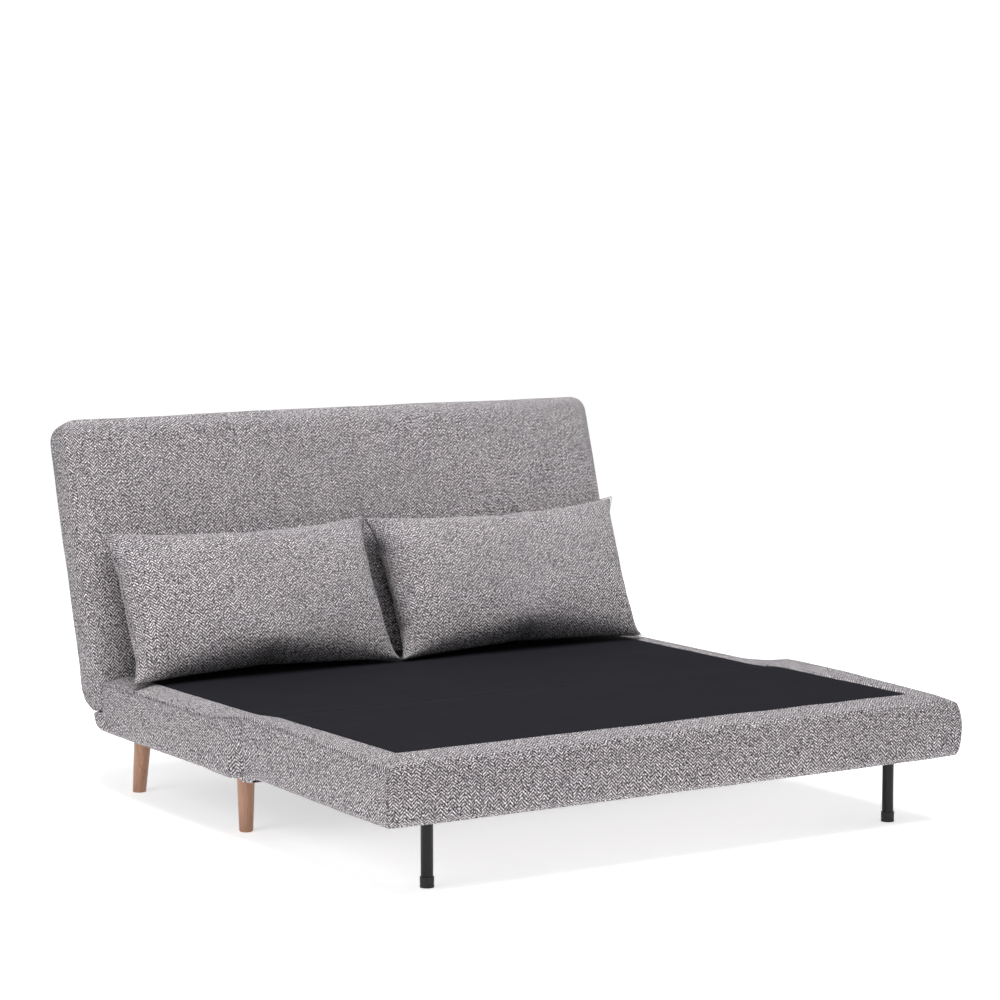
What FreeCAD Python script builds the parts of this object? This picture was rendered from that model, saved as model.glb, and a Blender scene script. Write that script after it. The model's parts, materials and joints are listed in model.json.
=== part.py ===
"""Double fold-out sofa bed: base on wood legs, fold-out front on metal legs, reclining back.

Millimetres. +Z up, the front faces -Y, X runs along the seat. The floor is z = 0. The origin is the
middle of the outline on the floor. Lengths along Y are measured from the crease, where the front
section folds, and `crease_y` moves them into the row frame. Pieces of the back are drawn upright
about the recliner axis and then leaned.
"""
import FreeCAD
import Part
import Sketcher
import os
import re

SIZES = {
    # the whole
    "width": 1440.0,
    "crease_y": -180.0,
    "underside": 139.5,
    "skin": 3.0,
    "half_crease": 3.0,
    # base section
    "base_depth": 688.0,
    "base_deck": 264.5,
    "base_shoulder": 248.0,
    # front section
    "front_depth": 593.0,
    "front_deck": 272.0,
    "front_shoulder": 255.0,
    # black deck panels
    "side_border": 74.0,
    "front_border": 82.0,
    # fold hinge
    "fold_axis_z": 268.6,
    "fold_eye": 6.5,
    "fold_pin": 3.0,
    # back section and its recliner hinge
    "back_axis_y": 719.2,
    "back_axis_z": 209.5,
    "back_front": 55.0,
    "back_rear": 60.0,
    "back_top": 639.0,
    "back_gap": 1.0,
    "lean": 16.0,
    "recliner_eye": 16.0,
    "recliner_pin": 5.0,
    "clearance": 0.05,
    # steel frames
    "base_tube": 30.0,
    "tube": 25.0,
    "tube_wall": 1.5,
    "base_frame_z": 143.5,
    "front_frame_z": 222.0,
    "rail_out": 694.0,
    "plate": 4.0,
    "plate_gap": 0.3,
    # slats and their end holders
    "slat_wide": 53.0,
    "slat_thick": 8.0,
    "holder_wide": 61.0,
    "holder_long": 35.0,
    "holder_wall": 2.0,
    "slat_pitch": 130.0,
    # wood legs
    "leg_x": 633.0,
    "front_leg_y": 140.0,
    "rear_leg_y": 630.0,
    "rear_splay": 9.5,
    "leg_top": 20.0,
    "leg_foot": 15.0,
    "foot_bevel": 2.0,
    "leg_bolt": 4.0,
    "leg_plate": 70.0,
    # metal legs
    "metal_x": 581.0,
    "metal_y": -512.0,
    "metal_pivot_z": 155.0,
    "metal_tube": 12.5,
    "metal_bore": 11.0,
    "cap_out": 14.25,
    "cap_tall": 21.0,
    "leg_pin": 4.0,
    "channel_half": 17.0,
    "channel_end": 19.0,
    "channel_tall": 34.1,
    "channel_long": 180.0,
    # scatter pillows
    "pillow_wide": 694.0,
    "pillow_gap": 8.0,
    "pillow_y": 510.0,
    "pillow_z": 272.0,
    "pillow_tall": 360.0,
    "pillow_lean": 34.6,
    "pillow_bulge_front": 55.0,
    "pillow_bulge_rear": 68.0,
    "filling_up": 295.0,
    "filling_radius": 18.0,
}

SLATS = 10
SIDES = (("left", -1), ("right", 1))

doc = FreeCAD.newDocument("FutonSofaBed")
sheet = doc.addObject("Spreadsheet::Sheet", "Sizes")
for row, (alias, number) in enumerate(SIZES.items(), start=1):
    sheet.set("A%d" % row, alias)
    sheet.set("B%d" % row, str(number))
    sheet.setAlias("B%d" % row, alias)
doc.recompute()

parts = []


def formula(text):
    """Turn 'width / 2' into an expression on the sheet's cells."""
    return re.sub(r"[a-z_]+", lambda word: ("Sizes." if word[0] in SIZES else "") + word[0], text)


def bind(thing, name, text):
    thing.setExpression(name, formula(text))


def bind_base(thing, x, y, z):
    for axis, text in zip("xyz", (x, y, z)):
        bind(thing, ".Placement.Base." + axis, text)


def to_floor(y):
    """A Y place measured from the crease, as a place in the row frame."""
    return "crease_y + (%s)" % y


def block(x, y, z, leaned=False):
    """A box from three (low, high) pairs of formulas."""
    piece = doc.addObject("Part::Box", "Block")
    for side, (low, high) in zip(("Length", "Width", "Height"), (x, y, z)):
        bind(piece, side, "(%s) - (%s)" % (high, low))
    bind_base(piece, x[0], y[0] if leaned else to_floor(y[0]), z[0])
    return piece


TURNS = {
    "X": FreeCAD.Rotation(FreeCAD.Vector(0, 1, 0), 90),
    "Y": FreeCAD.Rotation(FreeCAD.Vector(1, 0, 0), -90),
    "Z": FreeCAD.Rotation(),
}


def rod(axis, radius, start, length, leaned=False):
    """A cylinder that runs from start along +X, +Y or +Z."""
    piece = doc.addObject("Part::Cylinder", "Rod")
    piece.Placement = FreeCAD.Placement(FreeCAD.Vector(), TURNS[axis])
    bind(piece, "Radius", radius)
    bind(piece, "Height", length)
    bind_base(piece, start[0], start[1] if leaned else to_floor(start[1]), start[2])
    return piece


def taper(low_radius, high_radius, x, y, z, tall):
    piece = doc.addObject("Part::Cone", "Taper")
    bind(piece, "Radius1", low_radius)
    bind(piece, "Radius2", high_radius)
    bind(piece, "Height", tall)
    bind_base(piece, x, to_floor(y), z)
    return piece


def outline(points, x, leaned=False):
    """A flat plate or block: a closed outline of (y, z) formulas, padded along X from low to high."""
    body = doc.addObject("PartDesign::Body", "Outline")
    sketch = body.newObject("Sketcher::SketchObject", "OutlineSketch")
    plane = [datum for datum in body.Origin.OriginFeatures if datum.Role == "YZ_Plane"][0]
    sketch.AttachmentSupport = (plane, "")
    sketch.MapMode = "FlatFace"
    numbers = [(sheet_value(y), sheet_value(z)) for y, z in points]
    for index, (y, z) in enumerate(numbers):
        next_y, next_z = numbers[(index + 1) % len(numbers)]
        start = FreeCAD.Vector(y, z, 0)
        sketch.addGeometry(Part.LineSegment(start, FreeCAD.Vector(next_y, next_z, 0)), False)
    for index in range(len(points)):
        following = (index + 1) % len(points)
        sketch.addConstraint(Sketcher.Constraint("Coincident", index, 2, following, 1))
    for index, (y, z) in enumerate(points):
        for kind, text, number in (("DistanceX", y, numbers[index][0]), ("DistanceY", z, numbers[index][1])):
            place = sketch.addConstraint(Sketcher.Constraint(kind, -1, 1, index, 1, number))
            sketch.setExpression("Constraints[%d]" % place, formula(text))
    pad = body.newObject("PartDesign::Pad", "OutlinePad")
    pad.Profile = sketch
    bind(pad, "Length", "(%s) - (%s)" % (x[1], x[0]))
    bind_base(body, x[0], "0" if leaned else "crease_y", "0")
    return body


def sheet_value(text):
    """The number that a formula gives with the sheet's own values."""
    words = {alias: sheet.get(alias) for alias in SIZES}
    total = re.sub(r"[a-z_]+", lambda word: repr(float(words[word[0]])), text)
    return float(FreeCAD.Units.Quantity(total))


def combine(kind, pieces):
    thing = doc.addObject(kind, "Joined")
    if kind == "Part::Compound":
        thing.Links = pieces
    else:
        thing.Shapes = pieces
    return thing


def fuse(*pieces):
    return combine("Part::MultiFuse", list(pieces))


def group(pieces):
    return combine("Part::Compound", list(pieces))


def common(*pieces):
    return combine("Part::MultiCommon", list(pieces))


def cut(base, *tools):
    """The base less every tool."""
    thing = doc.addObject("Part::Cut", "Less")
    thing.Base = base
    thing.Tool = tools[0] if len(tools) == 1 else fuse(*tools)
    return thing


def keep(label, thing):
    """Make a drawn solid a sub-part of the object."""
    thing.Label = label
    parts.append(thing)


def lean(thing):
    """Stand a piece of the back, drawn upright about the recliner axis, at its resting lean."""
    thing.Placement = FreeCAD.Placement(
        thing.Placement.Base, FreeCAD.Rotation(FreeCAD.Vector(-1, 0, 0), SIZES["lean"])
    )
    bind(thing, ".Placement.Rotation.Angle", "lean * 1 deg")
    bind(thing, ".Placement.Base.y", to_floor("back_axis_y"))
    bind(thing, ".Placement.Base.z", "back_axis_z")
    return thing


def both(low, high, sign):
    """An X range on the right side, or its mirror image on the left."""
    return (low, high) if sign > 0 else ("-(%s)" % high, "-(%s)" % low)


def tube_x(x, y, z, size, leaned=False):
    """A square tube along X: its solid and its bore."""
    wall = "tube_wall"
    inner_y = ("%s + %s" % (y, wall), "%s + %s - %s" % (y, size, wall))
    inner_z = ("%s + %s" % (z, wall), "%s + %s - %s" % (z, size, wall))
    solid = block(x, (y, "%s + %s" % (y, size)), (z, "%s + %s" % (z, size)), leaned)
    return solid, block(x, inner_y, inner_z, leaned)


# ---------------------------------------------------------------- upholstered blocks


def section_block(ends, tops, inset, front_slope):
    """A section's block with sloped shoulders. ends: its Y range. tops: shoulder and deck height."""
    half = "width / 2 - %s" % inset
    low_y, high_y = ends
    shoulder, deck = tops
    lower = block(
        ("-(%s)" % half, half), (low_y, high_y), ("underside + %s" % inset, "%s - %s" % (shoulder, inset))
    )
    upper = doc.addObject("Part::Wedge", "Shoulders")
    upper.Placement = FreeCAD.Placement(FreeCAD.Vector(), FreeCAD.Rotation(FreeCAD.Vector(1, 0, 0), 90))
    # the wedge is drawn with its own Y up and its own Z towards the front, so Z values are negative Y
    bind(upper, "Xmin", "-(%s)" % half)
    bind(upper, "Xmax", half)
    bind(upper, "X2min", "side_border - (%s)" % half)
    bind(upper, "X2max", "%s - side_border" % half)
    bind(upper, "Ymin", "%s - %s" % (shoulder, inset))
    bind(upper, "Ymax", "%s - %s" % (deck, inset))
    bind(upper, "Zmin", "-(%s)" % high_y)
    bind(upper, "Zmax", "-(%s)" % low_y)
    bind(upper, "Z2min", "-(%s)" % high_y)
    bind(upper, "Z2max", "-(%s) - %s" % (low_y, front_slope))
    bind_base(upper, "0", "crease_y", "0")
    return fuse(lower, upper)


def hinge_slits():
    """Slits that let the fold plates out of the two covers."""
    slits = []
    for _, sign in SIDES:
        x = both("rail_out - 1", "rail_out + 10", sign)
        slits.append(block(x, ("-40", "40"), ("200", "fold_axis_z + 10")))
    return slits


def plate_channel(y, z):
    """Room inside a section's filling for the hinge plates at both sides."""
    return [block(both("rail_out - 1", "rail_out + 10", sign), y, z) for _, sign in SIDES]


def slat_set(centre_xs, length_range, level, direction, leaned=False):
    """Slats and their end holders. level: (low, high) of the slats across their flat side."""
    slats = []
    shoes = []
    low, high = length_range
    shoe = ("%s - holder_wall" % level[0], "%s + holder_wall" % level[1])
    for x in centre_xs:
        flat = ("%s - slat_wide / 2" % x, "%s + slat_wide / 2" % x)
        wide = ("%s - holder_wide / 2" % x, "%s + holder_wide / 2" % x)
        ends = ((low, "%s + holder_long" % low), ("%s - holder_long" % high, high))
        inside = ("%s + holder_wall" % low, "%s - holder_wall" % high)
        if direction == "Y":
            slats.append(block(flat, inside, level, leaned))
            shoes.extend(block(wide, end, shoe, leaned) for end in ends)
        else:
            slats.append(block(flat, level, inside, leaned))
            shoes.extend(block(wide, shoe, end, leaned) for end in ends)
    return group(slats), cut(group(shoes), group(slats))


slat_centres = ["slat_pitch * %.1f" % (index - (SLATS - 1) / 2.0) for index in range(SLATS)]


# ---------------------------------------------------------------- base section


def base_solids():
    ends = ("half_crease", "base_depth")
    tops = ("base_shoulder", "base_deck")
    full_x = ("-width", "width")

    def cove(extra):
        """Room for the round lower end of the back."""
        reach = "back_front + back_gap + %s" % extra
        round_part = rod("X", reach, ("-width", "back_axis_y", "back_axis_z"), "2 * width")
        above = block(full_x, ("back_axis_y - (%s)" % reach, "base_depth + 5"), ("back_axis_z", "300"))
        return round_part, above

    outside = cut(section_block(ends, tops, "0", "0"), *cove("0"))
    inner_ends = ("half_crease + skin", "base_depth - skin")
    cavity = cut(section_block(inner_ends, tops, "skin", "0"), *cove("skin"))
    deck_x = ("side_border - width / 2", "width / 2 - side_border")
    deck_y = ("half_crease + skin", "back_axis_y - back_front - back_gap - skin")
    panel = block(deck_x, deck_y, ("base_deck - skin", "base_deck"))
    hatch_x = ("45 - width / 2", "width / 2 - 45")
    hatch = block(hatch_x, ("25", "base_depth - 20"), ("underside - 1", "underside + skin"))
    recliner_slots = []
    for _, sign in SIDES:
        x = both("rail_out - 5", "rail_out + 5.5", sign)
        recliner_slots.append(block(x, ("640", "base_depth + 10"), ("150", "base_deck")))
    keep("base_cover", cut(outside, cavity, panel, hatch, *(hinge_slits() + recliner_slots)))
    keep("base_deck_cloth", block(deck_x, deck_y, ("base_deck - skin", "base_deck")))

    plates = []
    plate_holes = []
    bolts = []
    for _, sign in SIDES:
        for y in ("front_leg_y", "rear_leg_y"):
            x = both("leg_x - leg_plate / 2", "leg_x + leg_plate / 2", sign)
            along = ("%s - leg_plate / 2" % y, "%s + leg_plate / 2" % y)
            plates.append(block(x, along, ("underside", "base_frame_z")))
            plate_holes.append(block(x, along, ("underside", "underside + 1.5")))
            centre = "leg_x * %d" % sign
            bolts.append(rod("Z", "leg_bolt", (centre, y, "underside - 35"), "39"))
    keep("leg_plates", cut(group(plates), group(bolts)))
    keep("leg_bolts", group(bolts))
    sheet_solid = block(hatch_x, ("25", "base_depth - 20"), ("underside", "underside + 1.5"))
    keep("base_dust_cover", cut(sheet_solid, group(plate_holes)))

    frame_top = "base_frame_z + base_tube"
    cross = ("base_tube - rail_out", "rail_out - base_tube")
    tubes = []
    for y in ("15", "front_leg_y + 20", "340", "rear_leg_y - 55"):
        tubes.append(tube_x(cross, y, "base_frame_z", "base_tube"))
    for _, sign in SIDES:
        x = both("rail_out - base_tube", "rail_out", sign)
        solid = block(x, ("10", "650"), ("base_frame_z", frame_top))
        bore_x = both("rail_out - base_tube + tube_wall", "rail_out - tube_wall", sign)
        bore = block(bore_x, ("10", "650"), ("base_frame_z + tube_wall", frame_top + " - tube_wall"))
        tubes.append((solid, bore))
    keep("base_frame", cut(fuse(*[t[0] for t in tubes]), group([t[1] for t in tubes])))
    slat_level = (frame_top + " + holder_wall", frame_top + " + holder_wall + slat_thick")
    slats, holders = slat_set(slat_centres, ("20", "rear_leg_y - 25"), slat_level, "Y")
    keep("base_slats", slats)
    keep("base_slat_holders", holders)
    foam_z = (frame_top + " + slat_thick + 2 * holder_wall", "base_deck")
    filling = common(cavity, block(full_x, ("0", "base_depth"), foam_z))
    foam_slots = plate_channel(("0", "95"), ("underside", "base_deck"))
    keep("base_foam", cut(filling, *(foam_slots + recliner_slots)))


def wood_legs():
    for name, sign in SIDES:
        centre = "leg_x * %d" % sign
        main = taper("leg_foot", "leg_top", centre, "front_leg_y", "foot_bevel", "underside - foot_bevel")
        bevel = taper("leg_foot - foot_bevel", "leg_foot", centre, "front_leg_y", "0", "foot_bevel")
        bolt = rod("Z", "leg_bolt", (centre, "front_leg_y", "underside - 35"), "39")
        keep("front_%s_leg" % name, cut(fuse(bevel, main), bolt))
        raked = doc.addObject("Part::Cone", "RakedLeg")
        # the raked leg's axis meets the underside above the bolt, so it is drawn past both ends
        raked.Placement = FreeCAD.Placement(
            FreeCAD.Vector(), FreeCAD.Rotation(FreeCAD.Vector(-1, 0, 0), -SIZES["rear_splay"])
        )
        bind(raked, "Radius1", "leg_foot - 0.6")
        bind(raked, "Radius2", "leg_top + 0.6")
        bind(raked, "Height", "underside + 40")
        run = "(underside + 20) * tan(rear_splay * 1 deg)"
        bind_base(raked, centre, to_floor("rear_leg_y + " + run), "-20")
        slab = block(("-width", "width"), ("500", "800"), ("0", "underside"))
        rear_bolt = rod("Z", "leg_bolt", (centre, "rear_leg_y", "underside - 35"), "39")
        keep("rear_%s_leg" % name, cut(common(raked, slab), rear_bolt))


# ---------------------------------------------------------------- hinges


def fold_hinges():
    """Plates on the outer faces of the side tubes, pinned at the top of the crease."""
    axis_z = "fold_axis_z"
    for name, sign in SIDES:
        inner = both("rail_out", "rail_out + plate", sign)
        outer = both("rail_out + plate + plate_gap", "rail_out + 2 * plate + plate_gap", sign)
        rail_low = "base_frame_z"
        rail_high = "base_frame_z + base_tube"
        base_web = outline(
            [("7", rail_low), ("90", rail_low), ("90", rail_high), ("40", rail_high),
             ("6", axis_z + " - 2.5"), ("-2.5", axis_z), ("-2.5", axis_z + " - 20"), ("7", "215")], inner)
        base_eye = rod("X", "fold_eye", (inner[0], "0", axis_z), "plate")
        pin_hole = rod("X", "fold_pin", ("-width", "0", axis_z), "2 * width")
        keep("base_fold_plate_" + name, cut(fuse(base_web, base_eye), pin_hole))
        front_web = outline(
            [("-100", "front_frame_z"), ("-12", "front_frame_z"), ("2.5", axis_z + " - 5"),
             ("0", axis_z), ("-5", axis_z + " + 2"), ("-25", "front_frame_z + tube"),
             ("-100", "front_frame_z + tube")], outer)
        front_eye = rod("X", "fold_eye", (outer[0], "0", axis_z), "plate")
        running_hole = rod("X", "fold_pin + clearance", ("-width", "0", axis_z), "2 * width")
        keep("front_fold_plate_" + name, cut(fuse(front_web, front_eye), running_hole))
        shank = both("rail_out - 2", "rail_out + 2 * plate + 2 * plate_gap + 2", sign)
        shank_length = "2 * plate + 2 * plate_gap + 4"
        heads = []
        for low in ("rail_out - 2", "rail_out + 2 * plate + 2 * plate_gap"):
            head = both(low, low + " + 2", sign)
            heads.append(rod("X", "fold_eye - 1.5", (head[0], "0", axis_z), "2"))
        keep("fold_pin_" + name, fuse(rod("X", "fold_pin", (shank[0], "0", axis_z), shank_length), *heads))


def recliner_hinges():
    """Base plates on the outer faces of the side tubes and arms on the back's side tubes."""
    for name, sign in SIDES:
        outer = both("rail_out", "rail_out + plate", sign)
        inner = both("rail_out - plate - plate_gap", "rail_out - plate_gap", sign)
        rail_high = "base_frame_z + base_tube"
        web = outline(
            [("560", "base_frame_z"), ("655", "base_frame_z"), ("back_axis_y + 9", "back_axis_z - 13"),
             ("back_axis_y", "back_axis_z + 15"), ("640", rail_high + " + 10"), ("560", rail_high)], outer)
        eye = rod("X", "recliner_eye", (outer[0], "back_axis_y", "back_axis_z"), "plate")
        hole = rod("X", "recliner_pin", ("-width", "back_axis_y", "back_axis_z"), "2 * width")
        keep("recliner_plate_" + name, cut(fuse(web, eye), hole))
        low_x = both("rail_out - plate - plate_gap - 2.3", "rail_out + plate + 2", sign)
        pin = rod("X", "recliner_pin", (low_x[0], "back_axis_y", "back_axis_z"), "2 * plate + plate_gap + 4.3")
        heads = []
        for low in ("rail_out - plate - 2 * plate_gap - 2", "rail_out + plate"):
            head = both(low, low + " + 2", sign)
            heads.append(rod("X", "recliner_pin + 3", (head[0], "back_axis_y", "back_axis_z"), "2"))
        keep("recliner_pin_" + name, fuse(pin, *heads))
        arm_web = outline(
            [("-12", "-9"), ("12", "-9"), ("30", "25"), ("30", "150"), ("5", "150"), ("-12", "9")],
            inner, leaned=True)
        arm_eye = rod("X", "recliner_eye", (inner[0], "0", "0"), "plate", leaned=True)
        arm_hole = rod("X", "recliner_pin + clearance", ("-width", "0", "0"), "2 * width", leaned=True)
        keep("recliner_arm_" + name, lean(cut(fuse(arm_web, arm_eye), arm_hole)))


# ---------------------------------------------------------------- front section


def channel_x(sign, inset):
    """X range of a leg channel, which runs from just outside the leg towards the middle."""
    low = "metal_x + channel_end - channel_long + %s" % inset
    return both(low, "metal_x + channel_end - %s" % inset, sign)


def front_solids():
    ends = ("-front_depth", "-half_crease")
    tops = ("front_shoulder", "front_deck")
    full_x = ("-width", "width")
    outside = section_block(ends, tops, "0", "front_border")
    inner_ends = ("skin - front_depth", "-half_crease - skin")
    cavity = section_block(inner_ends, tops, "skin", "front_border")
    deck_x = ("side_border - width / 2", "width / 2 - side_border")
    deck_y = ("front_border - front_depth", "-half_crease - skin")
    panel = block(deck_x, deck_y, ("front_deck - skin", "front_deck"))
    channel_y = ("metal_y - channel_half", "metal_y + channel_half")
    channel_z = ("underside", "underside + channel_tall")
    rooms = [block(channel_x(sign, "0"), channel_y, channel_z) for _, sign in SIDES]
    slots = [block(channel_x(sign, "0"), channel_y, ("underside - 1", "underside + skin")) for _, sign in SIDES]
    keep("front_cover", cut(outside, cavity, panel, *(hinge_slits() + slots)))
    keep("front_deck_cloth", block(deck_x, deck_y, ("front_deck - skin", "front_deck")))

    frame_top = "front_frame_z + tube"
    side_in = "rail_out + plate + plate_gap - tube"
    cross = ("-(%s)" % side_in, side_in)
    tubes = []
    for y in ("metal_y - tube / 2", "-45"):
        tubes.append(tube_x(cross, y, "front_frame_z", "tube"))
    wall = "tube_wall"
    bore_z = ("front_frame_z + " + wall, frame_top + " - " + wall)
    for _, sign in SIDES:
        for low in (side_in, "220"):
            x = both(low, low + " + tube", sign)
            bore_x = both(low + " + " + wall, low + " + tube - " + wall, sign)
            run = ("metal_y - tube / 2", "-12") if low == side_in else ("metal_y + tube / 2", "-45")
            solid = block(x, run, ("front_frame_z", frame_top))
            tubes.append((solid, block(bore_x, run, bore_z)))
    posts = []
    post_y = ("metal_y - tube / 2", "metal_y + tube / 2")
    for _, sign in SIDES:
        post_x = both("metal_x - 60 - tube / 2", "metal_x - 60 + tube / 2", sign)
        posts.append(block(post_x, post_y, (channel_z[1], "front_frame_z")))
    keep("front_frame", cut(fuse(*([t[0] for t in tubes] + posts)), group([t[1] for t in tubes])))
    slat_level = (frame_top + " + holder_wall", frame_top + " + holder_wall + slat_thick")
    slats, holders = slat_set(slat_centres, ("metal_y - 10", "-20"), slat_level, "Y")
    keep("front_slats", slats)
    keep("front_slat_holders", holders)
    pad_z = (frame_top + " + slat_thick + 2 * holder_wall", "front_deck")
    top_pad = common(cavity, block(full_x, ("-front_depth", "0"), pad_z))
    keep("front_top_pad", cut(top_pad, *plate_channel(("-110", "0"), ("200", "300"))))
    foam = common(cavity, block(full_x, ("-front_depth", "0"), ("underside", "front_frame_z")))
    pin_rooms = []
    for name, sign in SIDES:
        centre = "metal_x * %d" % sign
        pin_start = (centre, "metal_y - channel_half - 2.5", "metal_pivot_z")
        pin_rooms.append(rod("Y", "leg_pin + 3.5", pin_start, "2 * channel_half + 5"))
    hinge_rooms = plate_channel(("-110", "0"), ("200", "300"))
    keep("front_seat_foam", cut(foam, *(rooms + posts + pin_rooms + hinge_rooms)))


def metal_legs():
    for name, sign in SIDES:
        centre = "metal_x * %d" % sign
        pin_start = (centre, "metal_y - channel_half - 2", "metal_pivot_z")
        pin = rod("Y", "leg_pin", pin_start, "2 * channel_half + 4")
        heads = []
        for y in ("metal_y - channel_half - 2", "metal_y + channel_half"):
            heads.append(rod("Y", "leg_pin + 3", (centre, y, "metal_pivot_z"), "2"))
        keep("leg_pin_" + name, fuse(pin, *heads))
        outer_z = ("underside", "underside + channel_tall")
        outer_y = ("metal_y - channel_half", "metal_y + channel_half")
        inner_y = ("metal_y - channel_half + 2", "metal_y + channel_half - 2")
        shell = block(channel_x(sign, "0"), outer_y, outer_z)
        hollow = block(channel_x(sign, "2"), inner_y, ("underside - 1", "underside + channel_tall - 2"))
        hole = rod("Y", "leg_pin", pin_start, "2 * channel_half + 4")
        keep("leg_channel_" + name, cut(shell, hollow, hole))
        tube_z = "metal_pivot_z + 10 - skin"
        tube_solid = rod("Z", "metal_tube", (centre, "metal_y", "skin"), tube_z)
        bore = rod("Z", "metal_bore", (centre, "metal_y", "skin"), tube_z)
        loose = rod("Y", "leg_pin + clearance", pin_start, "2 * channel_half + 4")
        keep("metal_leg_" + name, cut(tube_solid, bore, loose))
        sleeve = rod("Z", "cap_out - 0.6", (centre, "metal_y", "0"), "cap_tall")
        rings = []
        for low, tall in (("0", "5"), ("8.5", "3"), ("13.5", "3"), ("18", "3")):
            rings.append(rod("Z", "cap_out", (centre, "metal_y", low), tall))
        socket = rod("Z", "metal_tube", (centre, "metal_y", "skin"), "cap_tall")
        keep("metal_leg_cap_" + name, cut(fuse(sleeve, *rings), socket))


# ---------------------------------------------------------------- back section


def back_block(inset):
    """The back's upright block about the recliner axis, with a lower end that clears the base."""
    front = "%s - back_front" % inset
    rear = "back_rear - %s" % inset
    points = [
        (rear, "back_top - %s" % inset),
        (front, "back_top - %s" % inset),
        (front, "0"),
        ("(%s) * 0.92" % front, "(%s) * 0.38" % front),
        ("(%s) * 0.70" % front, "(%s) * 0.70" % front),
        ("15 - %s / 2" % inset, "%s - 20" % inset),
        (rear, "25 + %s / 2" % inset),
    ]
    half = "width / 2 - %s" % inset
    return outline(points, ("-(%s)" % half, half), leaned=True)


def back_solids():
    full_x = ("-width", "width")
    cavity = back_block("skin")
    cover_slots = []
    filling_slots = []
    for _, sign in SIDES:
        x = both("rail_out - plate - 2 * plate_gap - 2.4", "rail_out + plate + 2.4", sign)
        cover_slots.append(block(x, ("-back_front - 5", "40"), ("-back_front - 5", "recliner_eye + 2"), True))
        filling_slots.append(block(x, ("-back_front", "31"), ("-back_front", "160"), True))
    keep("back_cover", lean(cut(back_block("0"), cavity, *cover_slots)))

    rail_x = "rail_out - plate - plate_gap - tube"
    tubes = []
    for z in ("30", "back_top - 70"):
        tubes.append(tube_x(("-(%s)" % rail_x, rail_x), "5", z, "tube", leaned=True))
    for _, sign in SIDES:
        for low in (rail_x, "220"):
            run = ("20", "back_top - 45") if low == rail_x else ("30 + tube", "back_top - 70")
            x = both(low, low + " + tube", sign)
            bore_x = both(low + " + tube_wall", low + " + tube - tube_wall", sign)
            solid = block(x, ("5", "5 + tube"), run, True)
            tubes.append((solid, block(bore_x, ("5 + tube_wall", "5 + tube - tube_wall"), run, True)))
    keep("back_frame", lean(cut(fuse(*[t[0] for t in tubes]), group([t[1] for t in tubes]))))
    slat_level = ("5 - holder_wall - slat_thick", "5 - holder_wall")
    slats, holders = slat_set(slat_centres, ("28", "back_top - 43"), slat_level, "Z", leaned=True)
    keep("back_slats", lean(slats))
    keep("back_slat_holders", lean(holders))
    foam_y = ("-back_front", "5 - 2 * holder_wall - slat_thick")
    foam = common(cavity, block(full_x, foam_y, ("-back_front", "back_top"), True))
    keep("back_foam", lean(cut(foam, *filling_slots)))
    pad_box = block(full_x, ("5 + tube", "back_rear"), ("-back_front", "back_top"), True)
    keep("back_rear_pad", lean(cut(common(cavity, pad_box), *filling_slots)))


# ---------------------------------------------------------------- pillows


def pillows():
    """Two scatter pillows: a lens-shaped cover round a roll of filling."""
    front = "-pillow_bulge_front"
    rear = "pillow_bulge_rear"
    points = [
        ("0", "0"), (rear, "pillow_tall * 0.25"), (rear, "pillow_tall * 0.75"), ("3", "pillow_tall"),
        ("-3", "pillow_tall"), (front, "pillow_tall * 0.75"), (front, "pillow_tall * 0.25"),
    ]
    for name, sign in SIDES:
        x = both("pillow_gap / 2", "pillow_gap / 2 + pillow_wide", sign)
        lens = outline(points, x, leaned=True)
        roll_x = both("pillow_gap / 2 + 20", "pillow_gap / 2 + pillow_wide - 20", sign)
        roll = rod("X", "filling_radius", (roll_x[0], "0", "filling_up"), "pillow_wide - 40", True)
        room = rod("X", "filling_radius + 0.3", (roll_x[0] + " - 1", "0", "filling_up"), "pillow_wide - 38", True)
        for label, thing in (("pillow_cover_", cut(lens, room)), ("pillow_filling_", group([roll]))):
            thing.Placement = FreeCAD.Placement(
                FreeCAD.Vector(), FreeCAD.Rotation(FreeCAD.Vector(-1, 0, 0), SIZES["pillow_lean"])
            )
            bind(thing, ".Placement.Rotation.Angle", "pillow_lean * 1 deg")
            bind(thing, ".Placement.Base.y", to_floor("pillow_y"))
            bind(thing, ".Placement.Base.z", "pillow_z")
            keep(label + name, thing)


base_solids()
wood_legs()
fold_hinges()
recliner_hinges()
front_solids()
metal_legs()
back_solids()
pillows()
doc.recompute()

for thing in doc.Objects:
    if "Invalid" in thing.State or "Error" in thing.State:
        raise RuntimeError("%s failed: %s" % (thing.Name, thing.State))
for part in parts:
    if part.Shape.isNull() or not part.Shape.isValid() or not part.Shape.Solids:
        raise RuntimeError("%s has no valid solid" % part.Label)

os.makedirs("parts", exist_ok=True)
for part in parts:
    part.Shape.exportStep("parts/%s.step" % part.Label)
whole = Part.makeCompound([part.Shape for part in parts]).BoundBox
print("sub-parts %d, solids %d" % (len(parts), sum(len(part.Shape.Solids) for part in parts)))
print("outline %.1f x %.1f x %.1f mm" % (whole.XLength, whole.YLength, whole.ZLength))
print("middle of the outline along Y: %.2f mm" % whole.Center.y)
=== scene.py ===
"""Double fold-out sofa bed: covers, pillows, deck cloths, seams and finishes round its steel frames.

Metres, in the sofa's own frame: +Z up, the front faces -Y, X runs along the seat, the floor is z = 0.
Lengths along Y named `along` are measured from the crease where the front section folds.
The back is drawn upright about its recliner axis and then leaned.
"""
import json
import math

import bpy
import numpy as np
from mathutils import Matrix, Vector, noise


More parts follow.
